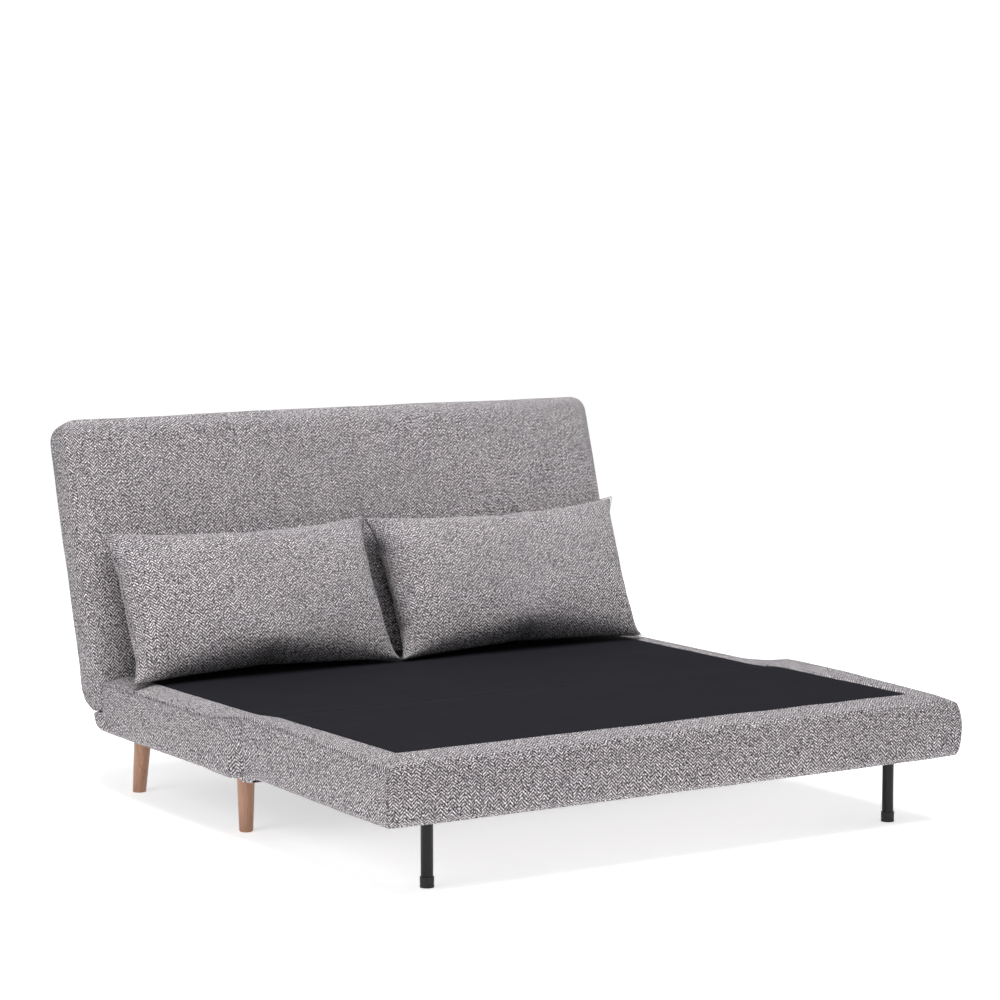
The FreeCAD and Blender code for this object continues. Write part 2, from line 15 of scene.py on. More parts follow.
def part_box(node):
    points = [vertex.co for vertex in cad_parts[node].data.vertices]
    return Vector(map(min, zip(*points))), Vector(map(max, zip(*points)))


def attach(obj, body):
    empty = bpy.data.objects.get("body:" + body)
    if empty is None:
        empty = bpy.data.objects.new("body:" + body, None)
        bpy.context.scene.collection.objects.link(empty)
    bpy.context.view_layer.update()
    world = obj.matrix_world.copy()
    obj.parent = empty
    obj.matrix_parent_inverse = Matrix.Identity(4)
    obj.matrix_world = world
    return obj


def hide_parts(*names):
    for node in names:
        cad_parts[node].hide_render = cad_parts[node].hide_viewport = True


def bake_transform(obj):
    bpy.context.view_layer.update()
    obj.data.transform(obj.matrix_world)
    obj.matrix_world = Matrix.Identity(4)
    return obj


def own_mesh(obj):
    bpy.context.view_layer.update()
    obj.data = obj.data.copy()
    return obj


bl_info = {
    "name": "Fold-out Sofa Bed",
    "version": (1, 0, 0),
    "blender": (4, 5, 0),
    "location": "View3D > Sidebar > Sofa Bed",
    "description": "Dresses a fold-out sofa bed frame with covers, pillows, cloths and finishes",
    "category": "Add Mesh",
}

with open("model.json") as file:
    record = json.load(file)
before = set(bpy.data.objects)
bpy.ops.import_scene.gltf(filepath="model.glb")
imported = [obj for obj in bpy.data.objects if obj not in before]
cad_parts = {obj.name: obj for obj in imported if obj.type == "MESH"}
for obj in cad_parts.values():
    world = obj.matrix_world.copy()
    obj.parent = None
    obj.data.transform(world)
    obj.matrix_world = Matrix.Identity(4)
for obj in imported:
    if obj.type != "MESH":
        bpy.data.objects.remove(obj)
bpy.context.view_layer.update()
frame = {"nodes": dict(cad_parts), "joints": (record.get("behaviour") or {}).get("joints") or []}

MM = 0.001
JOINTS = {joint["name"]: joint for joint in frame["joints"]}
CREASE_Y, FOLD_Z = JOINTS["seat_fold"]["pos_m"][1:]
AXIS_Y, AXIS_Z = JOINTS["back_recline"]["pos_m"][1:]
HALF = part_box("base_cover")[1].x
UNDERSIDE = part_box("base_cover")[0].z
BASE_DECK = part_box("base_deck_cloth")[1].z
FRONT_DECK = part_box("front_deck_cloth")[1].z
DECK_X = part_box("front_deck_cloth")[1].x
FRONT_DECK_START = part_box("front_deck_cloth")[0].y
FRONT_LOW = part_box("front_cover")[0].y
COVER_GAP = 0.001
FRONT_HIGH = CREASE_Y - COVER_GAP
BASE_LOW = CREASE_Y + COVER_GAP
BASE_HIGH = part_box("base_cover")[1].y
EDGE_ANGLES = (0, 12, 24, 35, 45)
SAME = 0.1 * MM  # places nearer than this are the same row
SIDE_REACH, SIDE_FULL = 0.10, 0.012  # the padding of a side fades from one distance in to the other
SEAM_DROP = 0.29  # a seam half way round an edge stands this share of the edge's radius below the top


# ------------------------------------------------------------------ sizes and colours a user may change


class SofaShape(bpy.types.PropertyGroup):
    """Softness and seams of the covers."""

    lean: bpy.props.FloatProperty(
        name="Back lean", description="Lean of the back from upright", default=math.radians(16),
        subtype="ANGLE")
    back_front: bpy.props.FloatProperty(
        name="Back front", description="Back's front face from the recliner axis", default=0.055,
        unit="LENGTH")
    back_rear: bpy.props.FloatProperty(
        name="Back rear", description="Back's rear face from the recliner axis", default=0.060, unit="LENGTH")
    back_top: bpy.props.FloatProperty(
        name="Back top", description="Height of the back above its axis", default=0.639, unit="LENGTH")
    crown: bpy.props.FloatProperty(
        name="Crown", description="How far the padded sides stand proud", default=0.005, unit="LENGTH")
    pitch: bpy.props.FloatProperty(
        name="Grid", description="Spacing of the cover meshes", default=0.016, unit="LENGTH")
    seam_depth: bpy.props.FloatProperty(
        name="Seam depth", description="Depth of a seam's groove", default=0.0040, unit="LENGTH")
    stitch_pitch: bpy.props.FloatProperty(
        name="Stitch pitch", description="From one stitch to the next", default=0.0065, unit="LENGTH")
    stitch_length: bpy.props.FloatProperty(
        name="Stitch length", description="Length of one stitch", default=0.0058, unit="LENGTH")
    thread: bpy.props.FloatProperty(
        name="Thread", description="Radius of the sewing thread", default=0.0009, unit="LENGTH")


class SofaPillows(bpy.types.PropertyGroup):
    """The two scatter pillows."""

    width: bpy.props.FloatProperty(
        name="Width", description="Corner to corner across a pillow", default=0.706, unit="LENGTH")
    height: bpy.props.FloatProperty(
        name="Height", description="Corner to corner up a pillow", default=0.398, unit="LENGTH")
    thickness: bpy.props.FloatProperty(
        name="Thickness", description="Thickness in the middle", default=0.150, unit="LENGTH")
    lean: bpy.props.FloatProperty(
        name="Lean", description="Lean from upright", default=math.radians(34.6), subtype="ANGLE")
    pressure: bpy.props.FloatProperty(
        name="Pressure", description="Pressure that fills the cover", default=4.0)
    frames: bpy.props.IntProperty(
        name="Frames", description="Frames of cloth simulation", default=20)


class SofaColours(bpy.types.PropertyGroup):
    """Colours of the finishes."""

    light_yarn: bpy.props.FloatVectorProperty(
        name="Light yarn", description="Warp of the grey cloth", subtype="COLOR",
        default=(0.54, 0.514, 0.531))
    dark_yarn: bpy.props.FloatVectorProperty(
        name="Dark yarn", description="Weft of the grey cloth", subtype="COLOR",
        default=(0.085, 0.079, 0.083))
    deck: bpy.props.FloatVectorProperty(
        name="Deck cloth", description="Black deck cloth", subtype="COLOR", default=(0.0125, 0.0125, 0.0165))
    wood: bpy.props.FloatVectorProperty(
        name="Wood", description="Beech", subtype="COLOR", default=(0.40, 0.205, 0.122))


class SofaCamera(bpy.types.PropertyGroup):
    """The main view."""

    place: bpy.props.FloatVectorProperty(
        name="Place", description="Camera place", default=(-3.6513, -5.7436, 1.3650), unit="LENGTH")
    turn: bpy.props.FloatProperty(
        name="Turn", description="Turn from +Y towards +X", default=math.radians(32.674), subtype="ANGLE")
    tilt: bpy.props.FloatProperty(
        name="Tilt", description="Tilt below level", default=math.radians(5.844), subtype="ANGLE")
    lens: bpy.props.FloatProperty(
        name="Lens", description="Focal length in millimetres", default=110.88)


# ------------------------------------------------------------------ small tools


def smooth(low, high, value):
    """0 before low, 1 after high, with an easy change between."""
    t = np.clip((value - low) / (high - low), 0, 1)
    return t * t * (3 - 2 * t)


def waves(points, size, seed):
    """Gentle unevenness from -1 to 1, with hollows about `size` across."""
    scaled = points / size + seed * 7.3
    return np.array([noise.noise(Vector(p)) for p in scaled])


def side_share(points):
    """1 at either side of the sofa, and 0 further in."""
    return smooth(HALF - SIDE_REACH, HALF - SIDE_FULL, np.abs(points[:, 0]))


def in_order(chosen, measure):
    """The numbers of the chosen points, in rising order of a measure."""
    picked = np.flatnonzero(chosen)
    return picked[np.argsort(measure[picked], kind="stable")]


def rows(low, high, low_radius, high_radius, pitch, extra=()):
    """Where a box is ruled along one axis: close at its rounded edges, and with each extra row."""
    bend = [math.tan(math.radians(angle)) for angle in EDGE_ANGLES]
    places = [low + low_radius * (1 - t) for t in bend] + [high - high_radius * (1 - t) for t in bend]
    inner_low, inner_high = low + low_radius, high - high_radius
    count = max(2, round((inner_high - inner_low) / pitch))
    places += [inner_low + (inner_high - inner_low) * step / count for step in range(1, count)]
    for row in extra:
        places = [p for p in places if abs(p - row) > 2.5 * MM or p in (low, high)]
        places.append(row)
    return sorted(set(places))


def ruled_box(xs, ys, zs):
    """Points, quads and each quad's axis, for the skin of a box ruled at the given places."""
    points, quads, axes, index = [], [], [], {}
    spans = (len(xs) - 1, len(ys) - 1, len(zs) - 1)

    def corner(*place):
        if place not in index:
            index[place] = len(points)
            points.append((xs[place[0]], ys[place[1]], zs[place[2]]))
        return index[place]

    for axis in range(3):
        first, second = (axis + 1) % 3, (axis + 2) % 3
        for level in (0, spans[axis]):
            for a in range(spans[first]):
                for b in range(spans[second]):
                    loop = []
                    for step_a, step_b in ((0, 0), (1, 0), (1, 1), (0, 1)):
                        place = [0, 0, 0]
                        place[axis], place[first], place[second] = level, a + step_a, b + step_b
                        loop.append(corner(*place))
                    quads.append(loop if level else loop[::-1])
                    axes.append(axis)
    return np.array(points), quads, axes


def round_edges(points, low, high, low_radii, high_radii):
    """Bend the skin of a box round its edges; each face has its own reach of rounding."""
    low_radii, high_radii = np.array(low_radii), np.array(high_radii)
    inner = np.clip(points, np.array(low) + low_radii, np.array(high) - high_radii)
    gap = points - inner
    radii = np.where(gap < 0, low_radii, high_radii)
    unit = gap / radii
    return inner + unit / np.linalg.norm(unit, axis=1)[:, None] * radii


def flat_uv(points, quads, axes):
    """Metres along the cloth, for each corner of each quad."""
    pairs = {0: (1, 2), 1: (0, 2), 2: (0, 1)}
    return [tuple(points[corner][list(pairs[axis])]) for quad, axis in zip(quads, axes) for corner in quad]


def turned_over(quads, uvs):
    """The same quads and cloth coordinates, facing the other way."""
    uvs = [uv for first in range(0, len(uvs), 4) for uv in uvs[first:first + 4][::-1]]
    return [quad[::-1] for quad in quads], uvs


def make_object(name, points, quads, uvs, material, levels=1):
    """A smooth mesh object in place, with its cloth coordinates."""
    mesh = bpy.data.meshes.new(name)
    mesh.from_pydata([tuple(p) for p in points], [], quads)
    layer = mesh.uv_layers.new(name="cloth")
    layer.data.foreach_set("uv", np.array(uvs, float).ravel())
    mesh.shade_smooth()
    mesh.materials.append(material)
    mesh.validate()
    piece = bpy.data.objects.new(name, mesh)
    bpy.context.scene.collection.objects.link(piece)
    if levels:
        subdivision = piece.modifiers.new("Soft", "SUBSURF")
        subdivision.levels = subdivision.render_levels = levels
    return piece


def sheet_grid(first, second, place):
    """Points, quads and cloth coordinates of a sheet ruled at `first` by `second`."""
    points = np.array([place(a, b) for a in first for b in second])
    wide = len(second)
    quads, uvs = [], []
    for i in range(len(first) - 1):
        for j in range(wide - 1):
            quad = [i * wide + j, (i + 1) * wide + j, (i + 1) * wide + j + 1, i * wide + j + 1]
            quads.append(quad)
            uvs += [(first[k // wide], second[k % wide]) for k in quad]
    return points, quads, uvs


# ------------------------------------------------------------------ finishes


def finish(name, **settings):
    """A new material: its nodes, its links and its shader with the given plain settings."""
    material = bpy.data.materials.new(name)
    material.use_nodes = True
    nodes, links = material.node_tree.nodes, material.node_tree.links
    shader = nodes["Principled BSDF"]
    for socket, value in settings.items():
        shader.inputs[socket.replace("_", " ")].default_value = value
    return material, nodes, links, shader


def maths(nodes, links, operation, *values):
    """A Math node on sockets or numbers."""
    node = nodes.new("ShaderNodeMath")
    node.operation = operation
    for socket, value in zip(node.inputs, values):
        if isinstance(value, (int, float)):
            socket.default_value = value
        else:
            links.new(value, socket)
    return node.outputs[0]


def multiplied(nodes, links, first, second):
    """Two colours multiplied together."""
    node = nodes.new("ShaderNodeMix")
    node.data_type = "RGBA"
    node.blend_type = "MULTIPLY"
    node.inputs[0].default_value = 1.0
    links.new(first, node.inputs[6])
    links.new(second, node.inputs[7])
    return node.outputs[2]


def new_group(name, inputs, outputs):
    """A shader node group with named sockets, and its input and output nodes."""
    group = bpy.data.node_groups.new(name, "ShaderNodeTree")
    for socket, kind, value in inputs:
        made = group.interface.new_socket(socket, in_out="INPUT", socket_type=kind)
        if value is not None:
            made.default_value = value
    for socket, kind in outputs:
        group.interface.new_socket(socket, in_out="OUTPUT", socket_type=kind)
    return group, group.nodes.new("NodeGroupInput"), group.nodes.new("NodeGroupOutput")


def herringbone_group():
    """Herringbone tweed: twill that turns back at each column, in a light and a dark flecked yarn."""
    group, start, end = new_group(
        "Herringbone",
        [("Cloth", "NodeSocketVector", None), ("Yarn", "NodeSocketFloat", 0.0019),
         ("Column", "NodeSocketFloat", 7.0), ("Light", "NodeSocketColor", None),
         ("Dark", "NodeSocketColor", None), ("Fleck", "NodeSocketFloat", 0.5)],
        [("Color", "NodeSocketColor"), ("Height", "NodeSocketFloat")])
    nodes, links = group.nodes, group.links

    def sum_up(operation, *values):
        return maths(nodes, links, operation, *values)

    split = nodes.new("ShaderNodeSeparateXYZ")
    links.new(start.outputs["Cloth"], split.inputs[0])
    across = sum_up("DIVIDE", split.outputs[0], start.outputs["Yarn"])
    up = sum_up("DIVIDE", split.outputs[1], start.outputs["Yarn"])
    warp_number = sum_up("FLOOR", across)
    weft_number = sum_up("FLOOR", up)
    column = sum_up("FLOOR", sum_up("DIVIDE", warp_number, start.outputs["Column"]))
    turn = sum_up("SUBTRACT", sum_up("MULTIPLY", sum_up("FLOORED_MODULO", column, 2), 2), 1)
    diagonal = sum_up("ADD", sum_up("MULTIPLY", turn, warp_number), weft_number)
    warp_over = sum_up("LESS_THAN", sum_up("FLOORED_MODULO", diagonal, 4), 1.9)

    place = nodes.new("ShaderNodeCombineXYZ")
    links.new(warp_number, place.inputs[0])
    links.new(sum_up("FLOOR", sum_up("DIVIDE", weft_number, 2)), place.inputs[1])
    links.new(warp_over, place.inputs[2])
    chance = nodes.new("ShaderNodeTexWhiteNoise")
    links.new(place.outputs[0], chance.inputs["Vector"])
    slub = nodes.new("ShaderNodeTexNoise")
    slub.inputs["Scale"].default_value = 220.0
    slub.inputs["Detail"].default_value = 2.5
    links.new(start.outputs["Cloth"], slub.inputs["Vector"])

    yarns = nodes.new("ShaderNodeMix")
    yarns.data_type = "RGBA"
    links.new(warp_over, yarns.inputs[0])
    links.new(start.outputs["Dark"], yarns.inputs[6])
    links.new(start.outputs["Light"], yarns.inputs[7])
    flecked = sum_up("MULTIPLY", sum_up("SUBTRACT", chance.outputs["Value"], 0.5), start.outputs["Fleck"])
    slubbed = sum_up("MULTIPLY", sum_up("SUBTRACT", slub.outputs[0], 0.5), 4.6)
    strength = sum_up("MAXIMUM", sum_up("ADD", sum_up("ADD", flecked, slubbed), 1), 0.12)
    grey = nodes.new("ShaderNodeCombineColor")
    for socket in grey.inputs[:3]:
        links.new(strength, socket)
    links.new(multiplied(nodes, links, yarns.outputs[2], grey.outputs[0]), end.inputs["Color"])

    warp_round = sum_up("SINE", sum_up("MULTIPLY", sum_up("FRACT", across), math.pi))
    weft_round = sum_up("SINE", sum_up("MULTIPLY", sum_up("FRACT", up), math.pi))
    over = sum_up("MULTIPLY", warp_round, warp_over)
    under = sum_up("MULTIPLY", weft_round, sum_up("SUBTRACT", 1, warp_over))
    links.new(sum_up("ADD", over, under), end.inputs["Height"])
    return group


def bump(nodes, links, shader, height, distance, strength):
    """Fine relief, `distance` deep at full strength."""
    node = nodes.new("ShaderNodeBump")
    node.inputs["Distance"].default_value = distance
    node.inputs["Strength"].default_value = strength
    links.new(height, node.inputs["Height"])
    links.new(node.outputs[0], shader.inputs["Normal"])


def cloth_coordinates(nodes):
    """Metres along the cloth."""
    node = nodes.new("ShaderNodeUVMap")
    node.uv_map = "cloth"
    return node.outputs[0]


def noise_value(nodes, links, scale, detail=3.0, coordinates=None, stretch=None):
    """A noise texture's value, on Object coordinates unless others are given."""
    if coordinates is None:
        coordinates = nodes.new("ShaderNodeTexCoord").outputs["Object"]
    if stretch is not None:
        mapping = nodes.new("ShaderNodeMapping")
        mapping.inputs["Scale"].default_value = stretch
        links.new(coordinates, mapping.inputs["Vector"])
        coordinates = mapping.outputs[0]
    node = nodes.new("ShaderNodeTexNoise")
    node.inputs["Scale"].default_value = scale
    node.inputs["Detail"].default_value = detail
    links.new(coordinates, node.inputs["Vector"])
    return node.outputs[0]


def ramp(nodes, links, value, stops):
    """Colours for a value: stops are (place, colour)."""
    node = nodes.new("ShaderNodeValToRGB")
    for element, (place, colour) in zip(node.color_ramp.elements, stops):
        element.position = place
        element.color = (*colour, 1)
    for place, colour in stops[2:]:
        node.color_ramp.elements.new(place).color = (*colour, 1)
    links.new(value, node.inputs[0])
    return node.outputs[0]


def shades(colour, *factors):
    """The same colour, darker or lighter by each factor."""
    return [tuple(min(1, part * factor) for part in colour) for factor in factors]


def grey_cloth(colours):
    """Herringbone tweed of the covers and pillows, a little worn in places."""
    _, nodes, links, shader = finish(
        "grey tweed", Roughness=0.95, Sheen_Weight=0.05, Sheen_Roughness=0.5, Specular_IOR_Level=0.08)
    weave = nodes.new("ShaderNodeGroup")
    weave.node_tree = herringbone_group()
    weave.inputs["Light"].default_value = (*colours.light_yarn, 1)
    weave.inputs["Dark"].default_value = (*colours.dark_yarn, 1)
    weave.inputs["Fleck"].default_value = 1.3
    links.new(cloth_coordinates(nodes), weave.inputs["Cloth"])
    cloudy = noise_value(nodes, links, 5.0)
    wear = ramp(nodes, links, cloudy, [(0.3, (0.95, 0.95, 0.96)), (0.7, (1.0, 0.995, 0.99))])
    links.new(multiplied(nodes, links, weave.outputs["Color"], wear), shader.inputs["Base Color"])
    bump(nodes, links, shader, weave.outputs["Height"], 0.0004, 0.5)


def black_cloth(colours):
    """Smooth black cloth of the decks and the dust cover."""
    _, nodes, links, shader = finish(
        "black deck cloth", Sheen_Weight=0.01, Sheen_Roughness=0.5, Specular_IOR_Level=0.04)
    cloth = cloth_coordinates(nodes)
    fine = noise_value(nodes, links, 900.0, 2.0, cloth, (1, 0.35, 1))
    dark, light = shades(colours.deck, 0.85, 1.2)
    links.new(ramp(nodes, links, fine, [(0.35, dark), (0.65, light)]), shader.inputs["Base Color"])
    rough = maths(nodes, links, "MULTIPLY_ADD", noise_value(nodes, links, 9.0), 0.12, 0.64)
    links.new(rough, shader.inputs["Roughness"])
    bump(nodes, links, shader, fine, 0.0002, 0.5)


def beech(colours):
    """Beech: a warm ground with fine grain along the leg, short dark flecks and a satin lacquer."""
    material, nodes, links, shader = finish(
        "lacquered beech", Roughness=0.38, Coat_Weight=0.25, Coat_Roughness=0.25, Specular_IOR_Level=0.45)
    broad = noise_value(nodes, links, 14.0, 4.0, None, (6, 6, 0.5))
    low, middle, high = shades(colours.wood, 0.80, 1.0, 1.16)
    ground = ramp(nodes, links, broad, [(0.3, low), (0.7, high), (0.5, middle)])
    flecks = noise_value(nodes, links, 260.0, 1.0, None, (1, 1, 0.09))
    mask = ramp(nodes, links, flecks, [(0.60, (1, 1, 1)), (0.72, (0.80, 0.74, 0.70))])
    links.new(multiplied(nodes, links, ground, mask), shader.inputs["Base Color"])
    bump(nodes, links, shader, flecks, 0.0002, 0.25)
    return material


def paint(name, colour, roughness, metallic=0.0, gloss=0.5, grain=350.0, depth=0.00012):
    """Paint, plating or moulded plastic: a little uneven in tone and gloss, with a fine texture."""
    material, nodes, links, shader = finish(name, Metallic=metallic, Specular_IOR_Level=gloss)
    cloudy = noise_value(nodes, links, 18.0)
    dark, light = shades(colour, 0.88, 1.1)
    links.new(ramp(nodes, links, cloudy, [(0.35, dark), (0.65, light)]), shader.inputs["Base Color"])
    fine = noise_value(nodes, links, grain, 2.0)
    rough = maths(nodes, links, "MULTIPLY_ADD", fine, 0.14, roughness - 0.07)
    links.new(rough, shader.inputs["Roughness"])
    bump(nodes, links, shader, fine, depth, 0.4)
    return material


def thread_and_seam_shade_finish(colours):
    """Sewing thread, its yarn colour darkened to stand in for the shadow along the seam: partly the thread's
    own tone, partly painted shade.
    """
    _, nodes, links, shader = finish("sewing thread", Roughness=0.7, Sheen_Weight=0.2)
    twist = noise_value(nodes, links, 900.0, 1.0)
    # painted shade: the dark yarn at half tone makes the stitches read as the seam's shadow line
    dark, light = shades(colours.dark_yarn, 0.5, 0.9)
    links.new(ramp(nodes, links, twist, [(0.4, dark), (0.6, light)]), shader.inputs["Base Color"])


def stored(name):
    """A finish that the finishes operator has made."""
    return bpy.data.materials[name]


def wear_finish(piece, material):
    """Give a piece one finish and no other."""
    piece.data.materials.clear()
    piece.data.materials.append(material)


# ------------------------------------------------------------------ covers of the two flat sections


# a side's seam and lower hem, from the front corner past the crease to the back: both rise and fall
SEAM_ALONG = (-0.593, -0.52, -0.42, -0.28, -0.21, -0.05, 0.0, 0.025, 0.07, 0.12, 0.16, 0.69)
SEAM_HEIGHT = (0.249, 0.256, 0.261, 0.266, 0.269, 0.271, 0.271, 0.268, 0.2595, 0.253, 0.2485, 0.2485)
HEM_ALONG = (-0.593, -0.42, -0.25, -0.095, -0.03, 0.0, 0.04, 0.09, 0.14, 0.18, 0.5, 0.69)
HEM_HEIGHT = (0.141, 0.142, 0.146, 0.150, 0.149, 0.144, 0.137, 0.134, 0.135, 0.138, 0.139, 0.141)
BORDER = HALF - DECK_X
SHELF = AXIS_Z - 0.0255


def seam_height(along):
    """Height of the seam at the top of a side."""
    return np.interp(along, SEAM_ALONG, SEAM_HEIGHT)


def deck_height(along):
    """Height of the deck: level on each section, and both come to the fold axis at the crease."""
    front = FRONT_DECK + (FOLD_Z - FRONT_DECK) * smooth(-0.05, 0.0, along)
    base = BASE_DECK + (FOLD_Z - 0.001 - BASE_DECK) * (1 - smooth(0.0, 0.06, along))
    return np.where(np.asarray(along) < 0, front, base)


def section_top(points, deck, front_drop, edge_drop):
    """How far the top stands below the deck: it falls over the borders to the seams."""
    along = points[:, 1] - CREASE_Y
    into_border = np.clip((np.abs(points[:, 0]) - DECK_X) / BORDER, 0, 1)
    side = (deck - seam_height(along) - edge_drop) * into_border ** 1.4
    into_front = np.clip((FRONT_DECK_START - points[:, 1]) / (FRONT_DECK_START - FRONT_LOW), 0, 1)
    front = front_drop * into_front ** 1.6
    return np.minimum(side, 0) + (np.maximum(side, 0) ** 3 + front ** 3) ** (1 / 3)


def crease_folds(points, edge):
    """How far a side is drawn in where it meets the crease: a soft valley above, gathered folds below."""
    reach = np.abs(points[:, 1] - edge)
    height = points[:, 2]
    middle = 1 - smooth(FOLD_Z - 0.060, FOLD_Z - 0.015, height)
    low = 1 - smooth(UNDERSIDE + 0.025, UNDERSIDE + 0.090, height)
    if edge < CREASE_Y:
        valley = 0.0015 + 0.006 * middle + 0.011 * low
        width = 0.010 + 0.004 * middle
        roll = 0.0070 * low * np.exp(-((reach - 0.024 - 0.2 * (UNDERSIDE + 0.05 - height)) / 0.010) ** 2)
    else:
        valley = 0.0015 + 0.007 * middle + 0.015 * low
        width = 0.016 + 0.014 * middle + 0.004 * low
        roll = 0.0060 * low * np.exp(-((reach - 0.062 + 0.4 * (height - UNDERSIDE)) / 0.014) ** 2)
    return valley * np.exp(-(reach / width) ** 1.6) - roll


WELL_GAP, WELL_RIM = 3 * MM, 6 * MM  # a leg channel's recess, from the channel to its wall and rim


def section_cover(name, low, high, low_radii, high_radii, deck, crease_edge, shape, wells=()):
    """The grey cover of the base or front section, as one closed padded skin."""
    crease_low = crease_edge < CREASE_Y
    near = [crease_edge + (-1 if crease_low else 1) * step * MM for step in (9, 13, 18, 24, 31, 39, 48)]
    beside = [sign * (DECK_X + step * MM) for sign in (-1, 1) for step in (-3, 3)]
    if crease_low:
        near += [FRONT_DECK_START + step * MM for step in (-3, 3)]
    for well_low, well_high in wells:
        for ruled, first, last in ((beside, well_low.x, well_high.x), (near, well_low.y, well_high.y)):
            ruled += [first - WELL_RIM, first - WELL_GAP, last + WELL_GAP, last + WELL_RIM]
    xs = rows(low[0], high[0], low_radii[0], high_radii[0], shape.pitch * 1.25, beside)
    ys = rows(low[1], high[1], low_radii[1], high_radii[1], shape.pitch, near)
    level = () if crease_low else (SHELF - 1 * MM, SHELF + 2 * MM)
    zs = rows(low[2], high[2], low_radii[2], high_radii[2], shape.pitch * 0.55, level)
    box_points, quads, axes = ruled_box(xs, ys, zs)
    points = round_edges(box_points, low, high, low_radii, high_radii)
    uvs = flat_uv(box_points, quads, axes)
    side = np.sign(points[:, 0])
    near_side = side_share(points)
    rise = np.clip((points[:, 2] - low[2]) / (high[2] - low[2]), 0, 1)
    belly = np.sin(np.pi * rise)

    upper = smooth(0.35, 0.95, rise)
    edge_drop = SEAM_DROP * high_radii[2]
    front_drop = 0.010 if crease_low else 0.0
    falls = section_top(points, deck, front_drop, edge_drop)
    lower = 1 - smooth(0.0, 0.35, rise)
    hem = np.interp(points[:, 1] - CREASE_Y, HEM_ALONG, HEM_HEIGHT) - low[2]
    points[:, 2] += hem * lower * near_side - falls * upper
    into_border = np.clip((np.abs(points[:, 0]) - DECK_X) / BORDER, 0, 1)
    points[:, 2] += (deck_height(points[:, 1] - CREASE_Y) - deck) * (1 - into_border ** 1.4) * upper
    on_deck = (1 - smooth(DECK_X - 0.003, DECK_X + 0.003, np.abs(points[:, 0]))) * smooth(0.9, 1.0, rise)
    if crease_low:
        on_deck *= smooth(FRONT_DECK_START - 0.003, FRONT_DECK_START + 0.003, points[:, 1])
    points[:, 2] -= 0.005 * on_deck
    border = smooth(0.9, 1.0, rise) * (1 - on_deck)
    points[:, 2] += 0.0015 * border

    points[:, 0] += side * near_side * (shape.crown * belly - 0.003)
    seam = np.abs(np.abs(box_points[:, 0]) - HALF) < SAME
    top_row = seam & (np.abs(box_points[:, 2] - high[2]) < SAME)
    points[top_row, 0] -= side[top_row] * shape.seam_depth
    points[top_row, 2] -= shape.seam_depth
    if crease_low:
        near_front = 1 - smooth(FRONT_LOW + 0.01, FRONT_LOW + 0.08, points[:, 1])
        points[:, 1] -= near_front * (shape.crown * 1.2 * belly - 0.003)
        corner_row = seam & (np.abs(box_points[:, 1] - low[1]) < SAME)
        points[corner_row, 0] -= side[corner_row] * shape.seam_depth
        points[corner_row, 1] += shape.seam_depth
    points[:, 0] -= side * near_side * crease_folds(points, crease_edge)
    ripple = waves(points, 0.11, 1 if crease_low else 2) * 0.0016 + waves(points, 0.035, 3) * 0.0005
    points[:, 0] += side * near_side * ripple
    points[:, 2] += border * ripple * (1 - near_side)
    if crease_low:
        points[:, 1] += near_front * ripple * 1.2
    for well_low, well_high in wells:
        under = box_points[:, 2] < low[2] + SAME
        for axis in (0, 1):
            under &= box_points[:, axis] > well_low[axis] - WELL_GAP - 1 * MM
            under &= box_points[:, axis] < well_high[axis] + WELL_GAP + 1 * MM
        points[under, 2] = well_high.z + 2 * MM
    piece = make_object(name, points, quads, uvs, stored("grey tweed"))
    seams = []
    for sign in (-1, 1):
        seams.append(points[in_order(top_row & (side == sign), box_points[:, 1])])
    for sign in (-1, 1) if crease_low else ():
        seams.append(points[in_order(corner_row & (side == sign), box_points[:, 2])])
    return piece, points, seams


def cove_shift(points):
    """The base's rear wall is full at the bottom and bends in round the lower end of the back above."""
    reach, upper, full = 0.057, 0.0455, 0.027
    height = points[:, 2] - AXIS_Z
    cove = np.maximum(np.sqrt(np.maximum(reach ** 2 - height ** 2, 0)), upper)
    hollow = np.minimum(AXIS_Y - cove - BASE_HIGH, 0)
    below = np.clip((SHELF - points[:, 2]) / (SHELF - UNDERSIDE), 0, 1)
    return np.where(points[:, 2] < SHELF, full * np.sqrt(1 - below ** 2), hollow)


SEAM_LINES = {}  # the seams of each body, filled in by the operators that make its covers
BEND = 0.014


class SOFA_OT_base_cover(bpy.types.Operator):
    """Cover of the base section"""

    bl_idname = "sofa.base_cover"
    bl_label = "Base cover"

    def execute(self, context):
        shape = context.scene.sofa_shape
        low, high = (-HALF, BASE_LOW, UNDERSIDE), (HALF, BASE_HIGH, BASE_DECK)
        low_radii, high_radii = (0.011, 0.005, 0.018), (0.011, 0.022, 0.014)
        piece, points, SEAM_LINES["base"] = section_cover(
            "base_upholstery", low, high, low_radii, high_radii, BASE_DECK, BASE_LOW, shape)
        near_rear = smooth(BASE_HIGH - 0.05, BASE_HIGH - 0.004, points[:, 1])
        points[:, 1] += near_rear * cove_shift(points)
        for vertex, place in zip(piece.data.vertices, points):
            vertex.co = place
        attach(piece, "base")
        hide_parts("base_cover", "base_foam")
        return {"FINISHED"}


class SOFA_OT_front_cover(bpy.types.Operator):
    """Cover of the fold-out front section"""

    bl_idname = "sofa.front_cover"
    bl_label = "Front cover"

    def execute(self, context):
        shape = context.scene.sofa_shape
        low, high = (-HALF, FRONT_LOW, UNDERSIDE), (HALF, FRONT_HIGH, FRONT_DECK)
        low_radii, high_radii = (0.011, 0.011, 0.020), (0.011, 0.005, 0.018)
        wells = [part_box("leg_channel_left"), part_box("leg_channel_right")]
        piece, _, SEAM_LINES["front"] = section_cover(
            "front_upholstery", low, high, low_radii, high_radii, FRONT_DECK, FRONT_HIGH, shape, wells)
        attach(piece, "front")
        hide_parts("front_cover", "front_seat_foam", "front_top_pad")
        return {"FINISHED"}


# ------------------------------------------------------------------ black deck cloths


